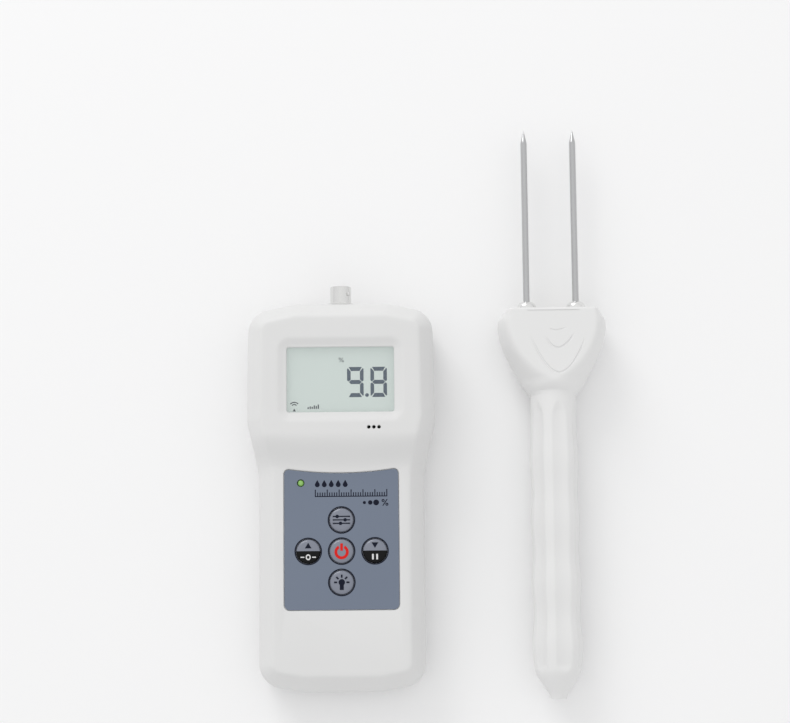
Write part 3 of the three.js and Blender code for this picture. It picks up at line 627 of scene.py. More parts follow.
def digit(left, top, lit):
    """One seven-segment figure; lit names its segments."""
    right, low = left + digit_width, top - digit_height
    places = {
        "top": (flat_segment, left, top, 1, 1),
        "bottom": (flat_segment, left, low, 1, -1),
        "middle": (middle_segment, left, top, 1, 1),
        "upper_left": (side_segment, left, top, 1, 1),
        "upper_right": (side_segment, right, top, -1, 1),
        "lower_left": (side_segment, left, low, 1, -1),
        "lower_right": (side_segment, right, low, -1, -1),
    }
    return [
        plate(mirrored(shape, x, y, across, upright), ink_low, ink_high)
        for name, (shape, x, y, across, upright) in places.items()
        if name in lit
    ]


nine = ["top", "bottom", "middle", "upper_left", "upper_right", "lower_right"]
eight = nine + ["lower_left"]
figures = digit(screen_left + 27.3, screen_top - 9.0, nine)
figures += digit(screen_left + 37.9, screen_top - 9.0, eight)
figures.append(post(screen_left + 36.3, screen_top - 21.9, 0.85, ink_low, ink_high, 24))


def inked(name, colour, dark, light, grain=1500.0, **constants):
    """An ink or paint that is a little uneven in tone, between dark and light."""
    ink = Finish(name, colour, **constants)
    return ink.feed(Base_Color=ink.mix(ink.noise(grain), (*dark, 1), (*light, 1)))


digits_ink = inked(
    "digits_ink", (0.05, 0.078, 0.118), (0.042, 0.068, 0.104), (0.06, 0.09, 0.132), 1800.0,
    Roughness=0.35,
)
fitted(together(figures), "display_digits", "meter", digits_ink)

signs = []
fan_x, fan_y = screen_left + 3.3, screen_top - 27.2
for radius in (1.3, 2.3):
    signs.append(arc(fan_x, fan_y, radius - 0.24, radius + 0.24, ink_low, ink_high, 40, 140, 14))
fan_foot = [(fan_x - 0.75, fan_y - 1.9), (fan_x + 0.75, fan_y - 1.9), (fan_x, fan_y - 0.55)]
signs.append(plate(fan_foot, ink_low, ink_high))
for i, tall in enumerate((0.8, 1.2, 1.0, 1.6, 1.35, 2.0)):
    x = screen_left + 9.3 + i * 0.92
    y = screen_top - 28.0
    signs.append(plate([(x, y), (x + 0.58, y), (x + 0.58, y + tall), (x, y + tall)], ink_low, ink_high))
percent_x, percent_y = screen_left + 24.7, screen_top - 5.7
slash = [
    (percent_x - 0.95, percent_y - 1.1), (percent_x - 0.6, percent_y - 1.1),
    (percent_x + 0.95, percent_y + 1.1), (percent_x + 0.6, percent_y + 1.1),
]
signs.append(plate(slash, ink_low, ink_high))
for side in (-1, 1):
    x = percent_x + side * 0.72
    y = percent_y - side * 0.58
    signs.append(arc(x, y, 0.22, 0.5, ink_low, ink_high, sides=20))
signs_ink = inked(
    "signs_ink", (0.06, 0.07, 0.085), (0.05, 0.06, 0.075), (0.085, 0.095, 0.11), Roughness=0.4
)
fitted(together(signs), "display_signs", "meter", signs_ink)


# ---- Keypad label ----
# One die-cut polycarbonate film with a fine embossed face, printed in dark navy and stuck into
# its recess. It has round holes for the five keys and for the lamp.

film = Finish("label_film", (0.162, 0.193, 0.255), Roughness=0.42, Specular_IOR_Level=0.35)
film_cloud = film.noise(22.0, 3.0)
film_grain = film.noise(3400.0, 2.0)
film.feed(
    Base_Color=film.mix(
        film_cloud * 0.55 + film_grain * 0.45, (0.15, 0.18, 0.24, 1), (0.175, 0.208, 0.27, 1)
    )
)
film.feed(Roughness=film_grain * 0.14 + 0.36)
film.bump(film_grain, 0.00002, 0.4)

label_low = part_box("keypad_label")[0].z * 1000
label_body = build_up(
    label_outline(0.0, label_low),
    [(0.0, label_low), (0.0, label_face - 0.08), (0.07, label_face)],
)
label_holes = [post(x, y, key_hole, label_low - 1, label_face + 1, 64) for x, y in key_places.values()]
label_holes.append(post(*led_place, 1.72, label_low - 1, label_face + 1))
keypad_label = fitted(combined(label_body, label_holes), "keypad_film", "meter", film)
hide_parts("keypad_label")

print_low, print_high = label_face - 0.01, label_face + 0.03
navy_ink = inked(
    "navy_ink", (0.008, 0.01, 0.022), (0.005, 0.007, 0.018), (0.011, 0.014, 0.028), 1600.0,
    Roughness=0.45, Specular_IOR_Level=0.1,
)
navy_marks = [arc(x, y, 5.72, 6.2, print_low, print_high, sides=72) for x, y in key_places.values()]


def drop(x, y, tall):
    """A water drop: a disc drawn up to a point."""
    turns = [math.radians(a) for a in steps(-205.0, 25.0, 18)]
    radius = tall * 0.34
    rim = [(x + radius * math.cos(a), y + radius * math.sin(a)) for a in turns]
    return plate(rim + [(x, y + tall * 0.68)], print_low, print_high)


def bar(x0, x1, y0, y1, low=None, high=None):
    low = print_low if low is None else low
    high = print_high if high is None else high
    return plate([(x0, y0), (x1, y0), (x1, y1), (x0, y1)], low, high)


for i in range(5):
    navy_marks.append(drop(-10.8 + i * 3.15, 4.75, 3.2))
for i in range(31):
    x = -11.7 + i * 1.075
    tall = 2.9 if i % 5 == 0 else 1.6
    navy_marks.append(bar(x - 0.22, x + 0.22, -0.35, -0.35 + tall))
navy_marks.append(bar(-11.92, 20.77, -0.75, -0.35))
for i, radius in enumerate((0.7, 1.0, 1.3)):
    navy_marks.append(post(10.4 + i * 2.65, -3.45, radius, print_low, print_high, 24))
navy_marks.append(plate([(18.5, -4.9), (19.0, -4.9), (20.9, -2.0), (20.4, -2.0)], print_low, print_high))
for side in (-1, 1):
    x = 19.7 + side * 0.85
    y = -3.45 - side * 0.85
    navy_marks.append(arc(x, y, 0.26, 0.68, print_low, print_high, sides=20))
fitted(together(navy_marks), "label_print", "meter", navy_ink)


# ---- Keys ----
# Five round domed keys of pale grey-blue plastic with a printed film cap. Each slides through
# the label and the shell, a skirt keeps it in, and its stem stands over a switch.

key_finish = Finish("key_cap", (0.19, 0.207, 0.258), Roughness=0.34, Coat_Weight=0.6, Coat_Roughness=0.12)
key_cloud = key_finish.noise(90.0, 2.0)
key_grain = key_finish.noise(3600.0, 2.0)
key_finish.feed(
    Base_Color=key_finish.mix(
        key_cloud * 0.6 + key_grain * 0.4, (0.178, 0.195, 0.245, 1), (0.2, 0.218, 0.27, 1)
    )
)
key_finish.feed(Roughness=key_grain * 0.1 + 0.3)
key_finish.bump(key_grain, 0.000015, 0.3)
key_black = inked(
    "key_black", (0.006, 0.0062, 0.0066), (0.004, 0.0042, 0.0045), (0.009, 0.0093, 0.0098), 2400.0,
    Roughness=0.4, Specular_IOR_Level=0.12,
)
symbol_red = inked(
    "symbol_red", (0.66, 0.012, 0.008), (0.6, 0.01, 0.006), (0.72, 0.018, 0.012),
    Roughness=0.45, Specular_IOR_Level=0.15,
)
symbol_white = inked(
    "symbol_white", (0.72, 0.72, 0.72), (0.62, 0.62, 0.62), (0.78, 0.78, 0.78), Roughness=0.45
)

cap_low, cap_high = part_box("key_power")
stem_foot = cap_low.z * 1000
cap_crown = cap_high.z * 1000
skirt_top = grip_face - 2.5
sign_low, sign_high = cap_crown - 0.3, cap_crown + 0.035


def key_form(x, y):
    profile = [
        (0.0, stem_foot), (1.7, stem_foot), (1.8, stem_foot + 0.1), (1.8, skirt_top - 0.8),
        (6.2, skirt_top - 0.8), (6.3, skirt_top - 0.7), (6.3, skirt_top - 0.1), (6.2, skirt_top),
        (5.4, skirt_top), (5.4, cap_crown - 1.25), (5.34, cap_crown - 1.0), (5.18, cap_crown - 0.74),
        (4.92, cap_crown - 0.52), (4.55, cap_crown - 0.33), (4.1, cap_crown - 0.19),
        (3.5, cap_crown - 0.09), (2.5, cap_crown - 0.025), (0.0, cap_crown),
    ]
    return turned(profile, x, y, 72)


def sign(parts, name, key, finish):
    """A printed sign on the crown of a key; it travels with the key."""
    return fitted(together(parts), name, "key_" + key, finish)


for key, (x, y) in key_places.items():
    form = key_form(x, y)
    if key in ("zero", "hold"):
        edge = y + 0.12
        geom = form.verts[:] + form.edges[:] + form.faces[:]
        bmesh.ops.bisect_plane(form, geom=geom, plane_co=(0, edge, 0), plane_no=(0, 1, 0))
        for face in form.faces:
            middle = face.calc_center_median()
            if middle.y < edge and middle.z > skirt_top + 0.05:
                face.material_index = 1
    cap = fitted(form, "cap_" + key, "key_" + key, [key_finish, key_black])
    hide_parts("key_" + key)

fun_x, fun_y = key_places["fun"]
sliders = []
for i, knob in enumerate((-1.9, 1.7, -0.4)):
    line_y = fun_y + 1.55 - i * 1.55
    sliders.append(bar(fun_x - 3.9, fun_x + 3.9, line_y - 0.26, line_y + 0.26, sign_low, sign_high))
    sliders.append(post(fun_x + knob, line_y, 0.78, sign_low - 0.05, sign_high + 0.01, 24))
sign(sliders, "sign_adjust", "fun", navy_ink)

zero_x, zero_y = key_places["zero"]
up_arrow = [(zero_x - 1.5, zero_y + 1.35), (zero_x + 1.5, zero_y + 1.35), (zero_x, zero_y + 3.8)]
sign([plate(up_arrow, sign_low, sign_high)], "sign_up", "zero", navy_ink)
nought = arc(zero_x, 0.0, 0.62, 1.12, sign_low, sign_high, sides=32)
bmesh.ops.scale(nought, vec=(1, 1.18, 1), verts=nought.verts[:])
moved(nought, 0, zero_y - 2.65, 0)
dashes = []
for side in (-1, 1):
    x = zero_x + side * 2.6
    dashes.append(bar(x - 0.85, x + 0.85, zero_y - 2.9, zero_y - 2.4, sign_low, sign_high))
sign([nought] + dashes, "sign_nought", "zero", symbol_white)

hold_x, hold_y = key_places["hold"]
down_arrow = [(hold_x - 1.5, hold_y + 3.75), (hold_x, hold_y + 1.25), (hold_x + 1.5, hold_y + 3.75)]
sign([plate(down_arrow, sign_low, sign_high)], "sign_down", "hold", navy_ink)
pauses = []
for side in (-1, 1):
    x = hold_x + side * 0.95
    pauses.append(bar(x - 0.4, x + 0.4, hold_y - 3.9, hold_y - 1.4, sign_low, sign_high))
sign(pauses, "sign_pause", "hold", symbol_white)

power_x, power_y = key_places["power"]
power_ring = arc(power_x, power_y - 0.45, 1.95, 3.2, sign_low, sign_high, 118, 422, 48)
power_bar = bar(power_x - 0.58, power_x + 0.58, power_y + 0.1, power_y + 3.4, sign_low, sign_high)
sign([power_ring, power_bar], "sign_power", "power", symbol_red)

light_x, light_y = key_places["light"]
lamp_parts = [
    post(light_x, light_y, 1.45, sign_low - 0.05, sign_high, 32),
    bar(light_x - 0.9, light_x + 0.9, light_y - 3.4, light_y - 0.9, sign_low, sign_high - 0.005),
]
for turn in (0, 45, 90, 135, 180):
    ray = swung(bar(2.05, 3.45, -0.37, 0.37, sign_low, sign_high), turn, "Z")
    lamp_parts.append(moved(ray, light_x, light_y, 0))
sign(lamp_parts, "sign_lamp", "light", navy_ink)


# ---- Lamp ----
# A small green light-emitting diode whose lens stands in its hole in the label. It is soldered
# to the board and is lit.

led_glow = Finish("led_lens", (0.35, 0.72, 0.14), Roughness=0.25, Coat_Weight=0.5)
led_out = led_glow.node("TexGradient", {"gradient_type": "SPHERICAL"}, {
    "Vector": led_glow.node("VectorMath", {"operation": "MULTIPLY"}, {
        0: led_glow.node("VectorMath", {"operation": "SUBTRACT"}, {
            0: led_glow.place,
            1: (
                case_middle.x + led_place[0] / 1000,
                case_middle.y + led_place[1] / 1000,
                grip_face / 1000,
            ),
        }, "Vector"),
        1: (500.0, 500.0, 500.0),
    }, "Vector"),
}, "Fac")
led_glow.feed(Base_Color=led_glow.mix(led_out, (0.12, 0.3, 0.05, 1), (0.26, 0.5, 0.12, 1)))
led_glow.feed(Emission_Color=led_glow.mix(led_out, (0.1, 0.28, 0.04, 1), (0.3, 0.6, 0.12, 1)))
led_glow.shader.inputs["Emission Strength"].default_value = 0.12
led_low, led_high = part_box("status_led")
led_foot, led_top = led_low.z * 1000, led_high.z * 1000
led_profile = [
    (0.0, led_foot), (1.75, led_foot), (1.75, led_foot + 1.0), (1.45, led_foot + 1.0),
    (1.45, led_top - 1.1), (1.38, led_top - 0.7), (1.18, led_top - 0.36), (0.86, led_top - 0.14),
    (0.45, led_top - 0.03), (0.0, led_top),
]
led = fitted(turned(led_profile, *led_place, 40), "lamp_lens", "meter", led_glow)
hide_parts("status_led")


# ---- Back shell ----
# The lower half of the case, in the same plastic, with a broad soft bevel round its flat back.
# It holds the walled battery bay, the door's grooves, and the posts that the case screws go into.

door_low, door_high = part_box("battery_door")
door_half = (door_high.x - door_low.x) * 500 - 1.2
door_top = (door_high.y - case_middle.y) * 1000
door_foot = (door_low.y - case_middle.y) * 1000
door_under, door_over = door_low.z * 1000, door_high.z * 1000
lower_plate_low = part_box("contact_plate_lower")[0]
upper_plate_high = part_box("contact_plate_upper")[1]
bay_half = (upper_plate_high.x - lower_plate_low.x) * 500 + 0.6
bay_ends = (
    (lower_plate_low.y - case_middle.y) * 1000 - 0.3,
    (upper_plate_high.y - case_middle.y) * 1000 + 0.3,
)
bay_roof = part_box("battery_1")[1].z * 1000 + 0.3
back_rim = seam_height - 2 * half_seam


def back_form(inset):
    if inset:
        rings = [(inset, back_rim + 1), (inset, 6.8), (inset + 2.8, 2.9), (inset + 4.2, 2.2)]
    else:
        rings = [
            (0.0, back_rim), (0.0, 6.4), (0.3, 5.0), (1.1, 3.4), (2.5, 1.8), (4.0, 0.7),
            (5.3, 0.16), (6.4, 0.0), (7.2, 0.0),
        ]
    return build_up(rounded_face(case_outline, back_rim), rings)


bay_wall = 1.5
back_fittings = combined(
    block(
        (-bay_half - bay_wall, bay_half + bay_wall),
        (bay_ends[0] - bay_wall, bay_ends[1] + bay_wall),
        (1.0, bay_roof + bay_wall),
    ),
    [block((-door_half - 3.2, door_half + 3.2), (-case_end + 3.2, door_top + 2.5), (1.0, door_over + 2.1))]
    + [block((-11.0, 11.0), (case_end - 2.5, case_end - 1.2), (back_rim - 8.0, back_rim))]
    + [post(x, y, boss_radius, 1.0, back_rim, 24) for x, y in screw_places]
    + [post(x, -42.0, 2.2, bay_roof + 1.0, 17.2, 16) for x in (-18.0, 18.0)],
    "UNION",
)
back_fittings = combined(back_fittings, [back_form(0.0)], "INTERSECT")
back = combined(combined(back_form(0.0), [back_form(wall)]), [back_fittings], "UNION")
mouth = door_half + 0.3
back_cuts = [
    block((-bay_half, bay_half), bay_ends, (-1.0, bay_roof)),
    block((-mouth, mouth), (-case_end - 1, door_top + 0.3), (-1.0, door_over + 0.3)),
    block((-mouth - 1.2, mouth + 1.2), (-case_end - 1, door_top + 0.3), (0.9, door_over + 0.3)),
    jack_bore(back_rim + half_seam),
]
for x, y in screw_places:
    back_cuts.append(post(x, y, screw_hole, -1.0, back_rim + 1, 20))
    back_cuts.append(post(x, y, counterbore, -1.0, 5.0, 32))
back_shell = fitted(combined(back, back_cuts), "case_back", "meter", case_plastic)
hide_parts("back_shell")


# ---- Battery door ----
# A flat sliding cover over the cells, in the case's plastic. Tongues along its sides run in the
# back shell's grooves, and moulded ribs give a thumb its grip.

door_plate = combined(
    block((-door_half, door_half), (-case_end - 1, door_top), (door_under, door_over)),
    [back_form(0.0)],
    "INTERSECT",
)
tongue_reach = door_half + 1.2
tongue_ends = (door_foot, door_top - 0.2)
door_tongues = block((-tongue_reach, tongue_reach), tongue_ends, (1.2, door_over - 0.25))
door_form = combined(door_plate, [door_tongues], "UNION")
door_ribs = []
for i in range(6):
    rib_ends = (door_top - 14.0 + i * 2.0, door_top - 13.1 + i * 2.0)
    rib = block((-9.0, 9.0), rib_ends, (-1.0, door_under + 0.45))
    upright = [e for e in rib.edges if abs(e.verts[0].co.z - e.verts[1].co.z) > 1]
    bmesh.ops.bevel(
        rib, geom=upright, offset=0.4, offset_type="OFFSET", segments=4, profile=0.5,
        affect="EDGES", material=-1,
    )
    door_ribs.append(rib)
battery_door = fitted(combined(door_form, door_ribs), "battery_cover", "battery_door", case_plastic)
door_edges = battery_door.modifiers.new("soft_edges", "BEVEL")
door_edges.width = 0.00018
door_edges.segments = 2
door_edges.limit_method = "ANGLE"
door_edges.angle_limit = math.radians(50)
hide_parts("battery_door")


# ---- Cells and their contacts ----
# Four AAA alkaline cells lie side by side in the bay, turned end for end. Each has a foil wrapper
# over a nickelled can, and bears on a conical steel spring and on a stamped contact plate.

wrapper = Finish("cell_wrapper", (0.2, 0.26, 0.33), Roughness=0.32, Metallic=0.35)
along_cell = wrapper.node("SeparateXYZ", {}, {0: wrapper.place}, "Y")
wrap_foot = lower_plate_low.y + 0.0009
wrapper_grain = wrapper.noise(700.0, 2.0)
band = (along_cell > wrap_foot + 0.0365) * 0.8 + wrapper_grain * 0.2
wrapper.feed(
    Base_Color=wrapper.mix(band, (0.02, 0.024, 0.03, 1), (0.45, 0.24, 0.075, 1)),
    Roughness=wrapper_grain * 0.15 + 0.22,
)
wrapper.bump(wrapper_grain, 0.00003, 0.3)


def metal(name, colour, roughness, grain_scale, stretch):
    """A bare or plated metal with a fine grain drawn out along the axes given by stretch."""
    finish = Finish(name, colour, Roughness=roughness, Metallic=1.0)
    drawn = finish.node("Mapping", {}, {"Vector": finish.place, "Scale": stretch}, "Vector")
    grain = finish.noise(grain_scale, 3.0, drawn)
    cloud = finish.noise(60.0, 2.0)
    dark = tuple(c * 0.9 for c in colour) + (1.0,)
    finish.feed(Base_Color=finish.mix(grain * 0.6 + cloud * 0.4, dark, (*colour, 1.0)))
    finish.feed(Roughness=grain * 0.12 + cloud * 0.06 + (roughness - 0.08))
    return finish.bump(grain, 0.000008, 0.25)


spring_steel = metal("spring_steel", (0.62, 0.63, 0.64), 0.28, 900.0, (1.0, 1.0, 1.0))
screw_steel = metal("screw_steel", (0.5, 0.51, 0.52), 0.3, 1200.0, (1.0, 1.0, 4.0))
nickel = metal("nickel_plate", (0.8, 0.8, 0.79), 0.12, 700.0, (1.0, 0.3, 1.0))
gold_plate = metal("gold_plate", (0.85, 0.62, 0.25), 0.2, 900.0, (1.0, 1.0, 1.0))
for i in (1, 2, 3, 4):
    surfaced(wrapper, f"battery_{i}")
    surfaced(spring_steel, f"contact_spring_{i}")
surfaced(spring_steel, "contact_plate_lower", "contact_plate_upper")


# ---- Circuit board ----
# A green glass-fibre board with its five key switches, buzzer and controller soldered on.
# It is held between the posts of the two shells.

board = Finish("board_mask", (0.03, 0.12, 0.055), Roughness=0.35, Coat_Weight=0.4)
tracks = board.node(
    "TexBrick",
    {"offset": 0.5, "squash": 1.0},
    {
        "Vector": board.place,
        "Scale": 260.0,
        "Mortar Size": 0.03,
        "Color1": (0.03, 0.13, 0.06, 1),
        "Color2": (0.026, 0.115, 0.052, 1),
        "Mortar": (0.07, 0.24, 0.1, 1),
    },
    "Color",
)
board_cloud = board.noise(40.0, 2.0)
board.feed(Base_Color=board.mix(board_cloud * 0.25, tracks, (0.02, 0.09, 0.04, 1)))
board.feed(Roughness=board_cloud * 0.15 + 0.28)
component_black = moulded("component_black", (0.022, 0.022, 0.024), 0.5, 1800.0)
lead_black = moulded("lead_black", (0.02, 0.02, 0.022), 0.42, 1500.0)
lead_red = moulded("lead_red", (0.42, 0.03, 0.022), 0.42, 1500.0)
surfaced(board, "main_board")
surfaced(component_black, "buzzer", "microcontroller", *["switch_" + key for key in key_places])
surfaced(lead_black, "signal_lead")


# ---- Probe socket on the case ----
# A panel BNC socket: a nickel-plated brass barrel with two bayonet studs, a white insulator and
# a gilt centre contact. A washer and nut inside the case hold it in the end wall.

socket_rim = (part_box("bnc_body")[1].y - case_middle.y) * 1000
socket_tail = socket_rim - 17.5
socket_height = seam_height - half_seam
barrel_profile = [
    (4.1, socket_rim), (4.1, case_end + 1.8), (3.2, case_end + 1.8), (3.2, socket_tail),
    (4.65, socket_tail), (4.65, case_end + 0.3), (5.95, case_end + 0.3), (6.0, case_end + 0.36),
    (6.0, case_end + 1.0), (5.9, case_end + 1.1), (4.85, case_end + 1.1),
    (4.85, socket_rim - 0.5), (4.8, socket_rim - 0.2), (4.62, socket_rim - 0.03),
    (4.45, socket_rim), (4.1, socket_rim),
]

stud_profile = [(0.0, 4.3), (1.05, 4.3), (1.05, 5.45), (0.95, 5.6), (0.75, 5.66), (0.0, 5.66)]
barrel = lying(turned(barrel_profile, 0, 0, 96), 0, socket_height)
studs = []
for side in (0, 180):
    stud = swung(turned(stud_profile, 0, 0, 28), 48 + side, "Y")
    studs.append(moved(stud, 0, socket_rim - 3.6, socket_height))
socket_barrel = fitted(combined(barrel, studs, "UNION"), "socket_barrel", "meter", nickel)
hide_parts("bnc_body")
insulator = moulded("insulator_white", (0.8, 0.79, 0.76), 0.35, 1600.0)
surfaced(insulator, "bnc_insulator")
surfaced(gold_plate, "bnc_contact")
surfaced(screw_steel, "bnc_washer")
surfaced(nickel, "bnc_nut")


# ---- Screws ----
# Cross-recessed self-tapping steel screws, four up through the back of the case and three up
# through the back of the probe, each in its counterbore.

for corner in ("upper_left", "upper_right", "lower_left", "lower_right"):
    surfaced(screw_steel, "case_screw_" + corner)
for place in ("head", "middle", "tail"):
    surfaced(screw_steel, "probe_screw_" + place)


# ---- Probe shells ----
# The probe's handle and flared head are two halves moulded in the case's plastic and joined
# along the middle. The handle is round with six finger flutes and four soft swells, the head
# has a flat raised face with a curved line pressed in it, and the tail tapers to the cable socket.

probe_low, probe_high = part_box("probe_back_shell")
probe_front_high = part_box("probe_front_shell")[1].z * 1000
probe_axis = probe_high.z * 1000 + half_seam
head_top = 39.6
probe_middle = Vector(
    ((probe_low.x + probe_high.x) / 2, probe_high.y - head_top / 1000, probe_axis / 1000)
)
probe_end = (probe_low.y - probe_middle.y) * 1000
head_front = probe_front_high - probe_axis
head_back = probe_axis
grip_radius = 10.5
tail_start = -123.0
flute_count = 6
flute_turn = 79.0
flute_reach = 19.5
flute_hollow = 1.0
probe_screws = (12.0, -50.0, -112.0)
probe_plastic = moulded("probe_plastic", (0.775, 0.775, 0.77), 0.42)

swell_places = [(-29.4, 0.65), (-58.0, 0.65), (-86.4, 0.85), (-114.0, 1.05)]
tail_profile = [
    (-138.0, 3.2), (-137.75, 3.6), (-137.3, 3.8), (-136.3, 4.05), (-133.6, 5.75), (-129.9, 8.15),
    (-128.2, 9.25), (-127.0, 9.9), (-125.4, 10.55), (-123.0, 11.05),
]
half_widths = [
    (0.0, 10.5), (0.9, 11.35), (3.0, 13.0), (6.5, 15.25), (13.8, 19.1), (19.3, 21.85),
    (22.9, 23.3), (28.4, 24.6), (31.5, 25.08), (33.6, 25.0), (34.8, 24.75), (35.7, 24.3),
    (36.4, 23.75), (37.1, 23.15), (37.6, 22.85), (38.4, 22.35), (38.9, 21.8), (39.3, 21.1),
    (39.6, 20.1),
]
face_half_widths = [
    (7.1, 0.0), (7.7, 2.2), (9.1, 4.6), (11.6, 8.0), (14.6, 11.2), (18.0, 13.9), (21.6, 16.0),
    (25.0, 17.5), (28.1, 18.5), (33.0, 19.3), (39.6, 19.4),
]


def read_off(table, position):
    """The value at a position in a table of (position, value) pairs, on straight lines between them."""
    if position <= table[0][0]:
        return table[0][1]
    for (p0, v0), (p1, v1) in zip(table, table[1:]):
        if position <= p1:
            return v0 + (v1 - v0) * (position - p0) / (p1 - p0)
    return table[-1][1]


def handle_radius(y):
    radius = grip_radius
    for peak, height in swell_places:
        t = min(abs(y - peak) / 13.8, 1.0)
        radius += height * (0.5 + 0.5 * math.cos(math.pi * t))
    return min(radius, read_off(tail_profile, y)) if y < tail_start else radius


def flute_depth(turn, y):
    """How far a finger flute is hollowed at this turn round the handle."""
    start = min(max((-2.6 - y) / 8.0, 0.0), 1.0)
    finish = min(max((y + 127.0) / 4.0, 0.0), 1.0)
    width = flute_reach * math.sqrt(start) * math.sqrt(finish)
    if width < 0.5:
        return 0.0
    between = 360.0 / flute_count
    away = abs((turn - flute_turn + between / 2) % between - between / 2) / width
    if away >= 1:
        return 0.0
    return flute_hollow * min(start * 1.6, 1.0) * finish * (1 - away * away)


def face_height(y, reach, arch):
    """The height of the head's face over the middle line, rising from an arch at the neck."""
    t = min(max((y - 2.1 * arch) / 4.9, 0.0), 1.0)
    top = min(max((y - 38.8) / 0.8, 0.0), 1.0)
    rise = grip_radius + (reach - grip_radius) * t * (2 - t)
    return rise - 0.7 * top * top


def probe_point(turn, y, shrink):
    """A point on the probe's outside, or inside it by shrink, at this turn and y."""
    c, s = math.cos(math.radians(turn)), math.sin(math.radians(turn))
    if y <= 0:
        radius = handle_radius(y) - flute_depth(turn, y) - shrink
        return radius * c, radius * s
    wide = read_off(half_widths, y) - shrink
    level = sum(read_off(face_half_widths, y + d) for d in (-1.2, -0.6, 0.0, 0.6, 1.2)) / 5
    share = max(level - shrink, 0.0) / wide
    reach = face_height(y, head_front if s > 0 else head_back, abs(s)) - shrink
    beyond = max(abs(c) - share, 0.0) / (1 - share)
    soft = min(y / 6.0, 1.0)
    drop = (1 - beyond ** (2 - 0.15 * soft)) ** (0.5 + 0.06 * soft)
    return wide * c, math.copysign(reach * drop, s)


def probe_form(stations, shrink=0.0):
    """A closed form through sections at the stations, from the tail towards the pins."""
    bm = bmesh.new()
    lie = Matrix.Translation((0, stations[0], 0)) @ Matrix.Rotation(math.pi / 2, 4, "X")
    bmesh.ops.create_circle(bm, cap_ends=True, segments=120, radius=1.0, matrix=lie)
    for v in bm.verts:
        turn = math.degrees(math.atan2(v.co.z, v.co.x)) + 2.5
        v.co.x, v.co.z = math.cos(math.radians(turn)), math.sin(math.radians(turn))
    face = bm.faces[:][0]
    for i, y in enumerate(stations):
        if i:
            face = raised(bm, face)
        for v in face.verts:
            v.co.y = y
    for v in bm.verts:
        turn = math.degrees(math.atan2(v.co.z, v.co.x))
        v.co.x, v.co.z = probe_point(turn, v.co.y, shrink)
    return closed(bm)


outside = [-138.0, -137.75, -137.3] + steps(-136.3, -122.0, 14) + steps(-120.5, -8.0, 75)
outside += steps(-7.4, -0.6, 12) + [-0.01, 0.01] + steps(0.45, 9.9, 21) + steps(10.8, 32.4, 24)
outside += [33.1, 33.9, 34.8, 35.3, 35.8, 36.3, 36.8, 37.1, 37.35, 37.8, 38.3, 38.8, 39.1, 39.35]
outside += [39.5, head_top]
head_hollow = probe_form([3.0, 6.0, 9.0, 12.0, 16.0, 20.0, 24.0, 28.0, 32.0, 35.5], 2.9)
handle_hollow = lying(post(0, 0, 8.1, -124.0, 4.5, 48), 0, 0)


def probe_cuts(side):
    """What is hollowed out of a half: its room, the pins' block, the socket, and screw holes."""
    cuts = [
        block((-16.7, 16.7), (head_top - 14.3, head_top + 2), (-5.3, 5.3)),
        lying(post(0, 0, 2.8, probe_end - 1, probe_end + 17.0, 40), 0, 0),
    ]
    for y in probe_screws:
        if side > 0:
            cuts.append(post(0, y, screw_hole, -1.0, 6.5, 20))
        else:
            cuts.append(post(0, y, screw_hole, -20.0, 1.0, 20))
            cuts.append(post(0, y, counterbore, -20.0, -6.4, 32))
    return cuts


def smooth_path(points, count):
    """Points along a smooth curve through the given ones."""
    path = []
    for i in range(len(points) - 1):
        p0 = Vector(points[max(i - 1, 0)])
        p1, p2 = Vector(points[i]), Vector(points[i + 1])
        p3 = Vector(points[min(i + 2, len(points) - 1)])
        for k in range(count):
            t = k / count
            bend = (2 * p0 - 5 * p1 + 4 * p2 - p3) * t * t + (3 * p1 - p0 - 3 * p2 + p3) * t**3
            path.append(0.5 * (2 * p1 + (p2 - p0) * t + bend))
    return path + [Vector(points[-1])]


def pressed_line(points, radius, level):
    """A round bar along a smooth line on the face, rising out of it at both ends."""
    path = smooth_path(points, 6)
    last = len(path) - 1
    bm = bmesh.new()
    bmesh.ops.create_circle(bm, cap_ends=True, segments=12, radius=radius)
    face = bm.faces[:][0]
    before = Matrix.Identity(4)
    for i, point in enumerate(path):
        ahead = path[min(i + 1, last)] - path[max(i - 1, 0)]
        fade = max(1 - min(i, last - i) / (last * 0.2), 0.0)
        lie = Matrix.Translation((point.x, point.y, level + radius * 0.95 * fade * fade))
        lie = lie @ Matrix.Rotation(math.atan2(ahead.y, ahead.x), 4, "Z")
        lie = lie @ Matrix.Rotation(math.pi / 2, 4, "Y")
        if i:
            face = raised(bm, face)
        bmesh.ops.transform(bm, matrix=lie @ before.inverted(), verts=list(face.verts))
        before = lie
    return closed(bm)


shield_line = [
    (-11.3, 27.8), (-9.3, 23.1), (-6.8, 18.1), (-4.0, 13.7), (-1.1, 10.7), (2.0, 9.4),
    (5.0, 10.4), (8.2, 13.4), (11.4, 18.5), (13.4, 22.9), (14.3, 26.3),
]
thumb_line = [
    (-4.3, 26.8), (-1.8, 22.8), (0.2, 21.2), (2.4, 20.8), (4.7, 21.9), (7.5, 24.5), (9.7, 28.0),
]
brow_line = [(-2.2, 29.7), (-0.5, 29.1), (1.3, 28.9), (3.1, 29.2), (5.9, 30.0)]
pressed = [
    pressed_line(shield_line, 0.6, head_front + 0.2),
    pressed_line(thumb_line, 0.66, head_front + 0.22),
    pressed_line(brow_line, 0.5, head_front + 0.2),
    block((-11.8, 11.8), (38.1, 38.4), (head_front - 0.3, head_front + 1)),
]


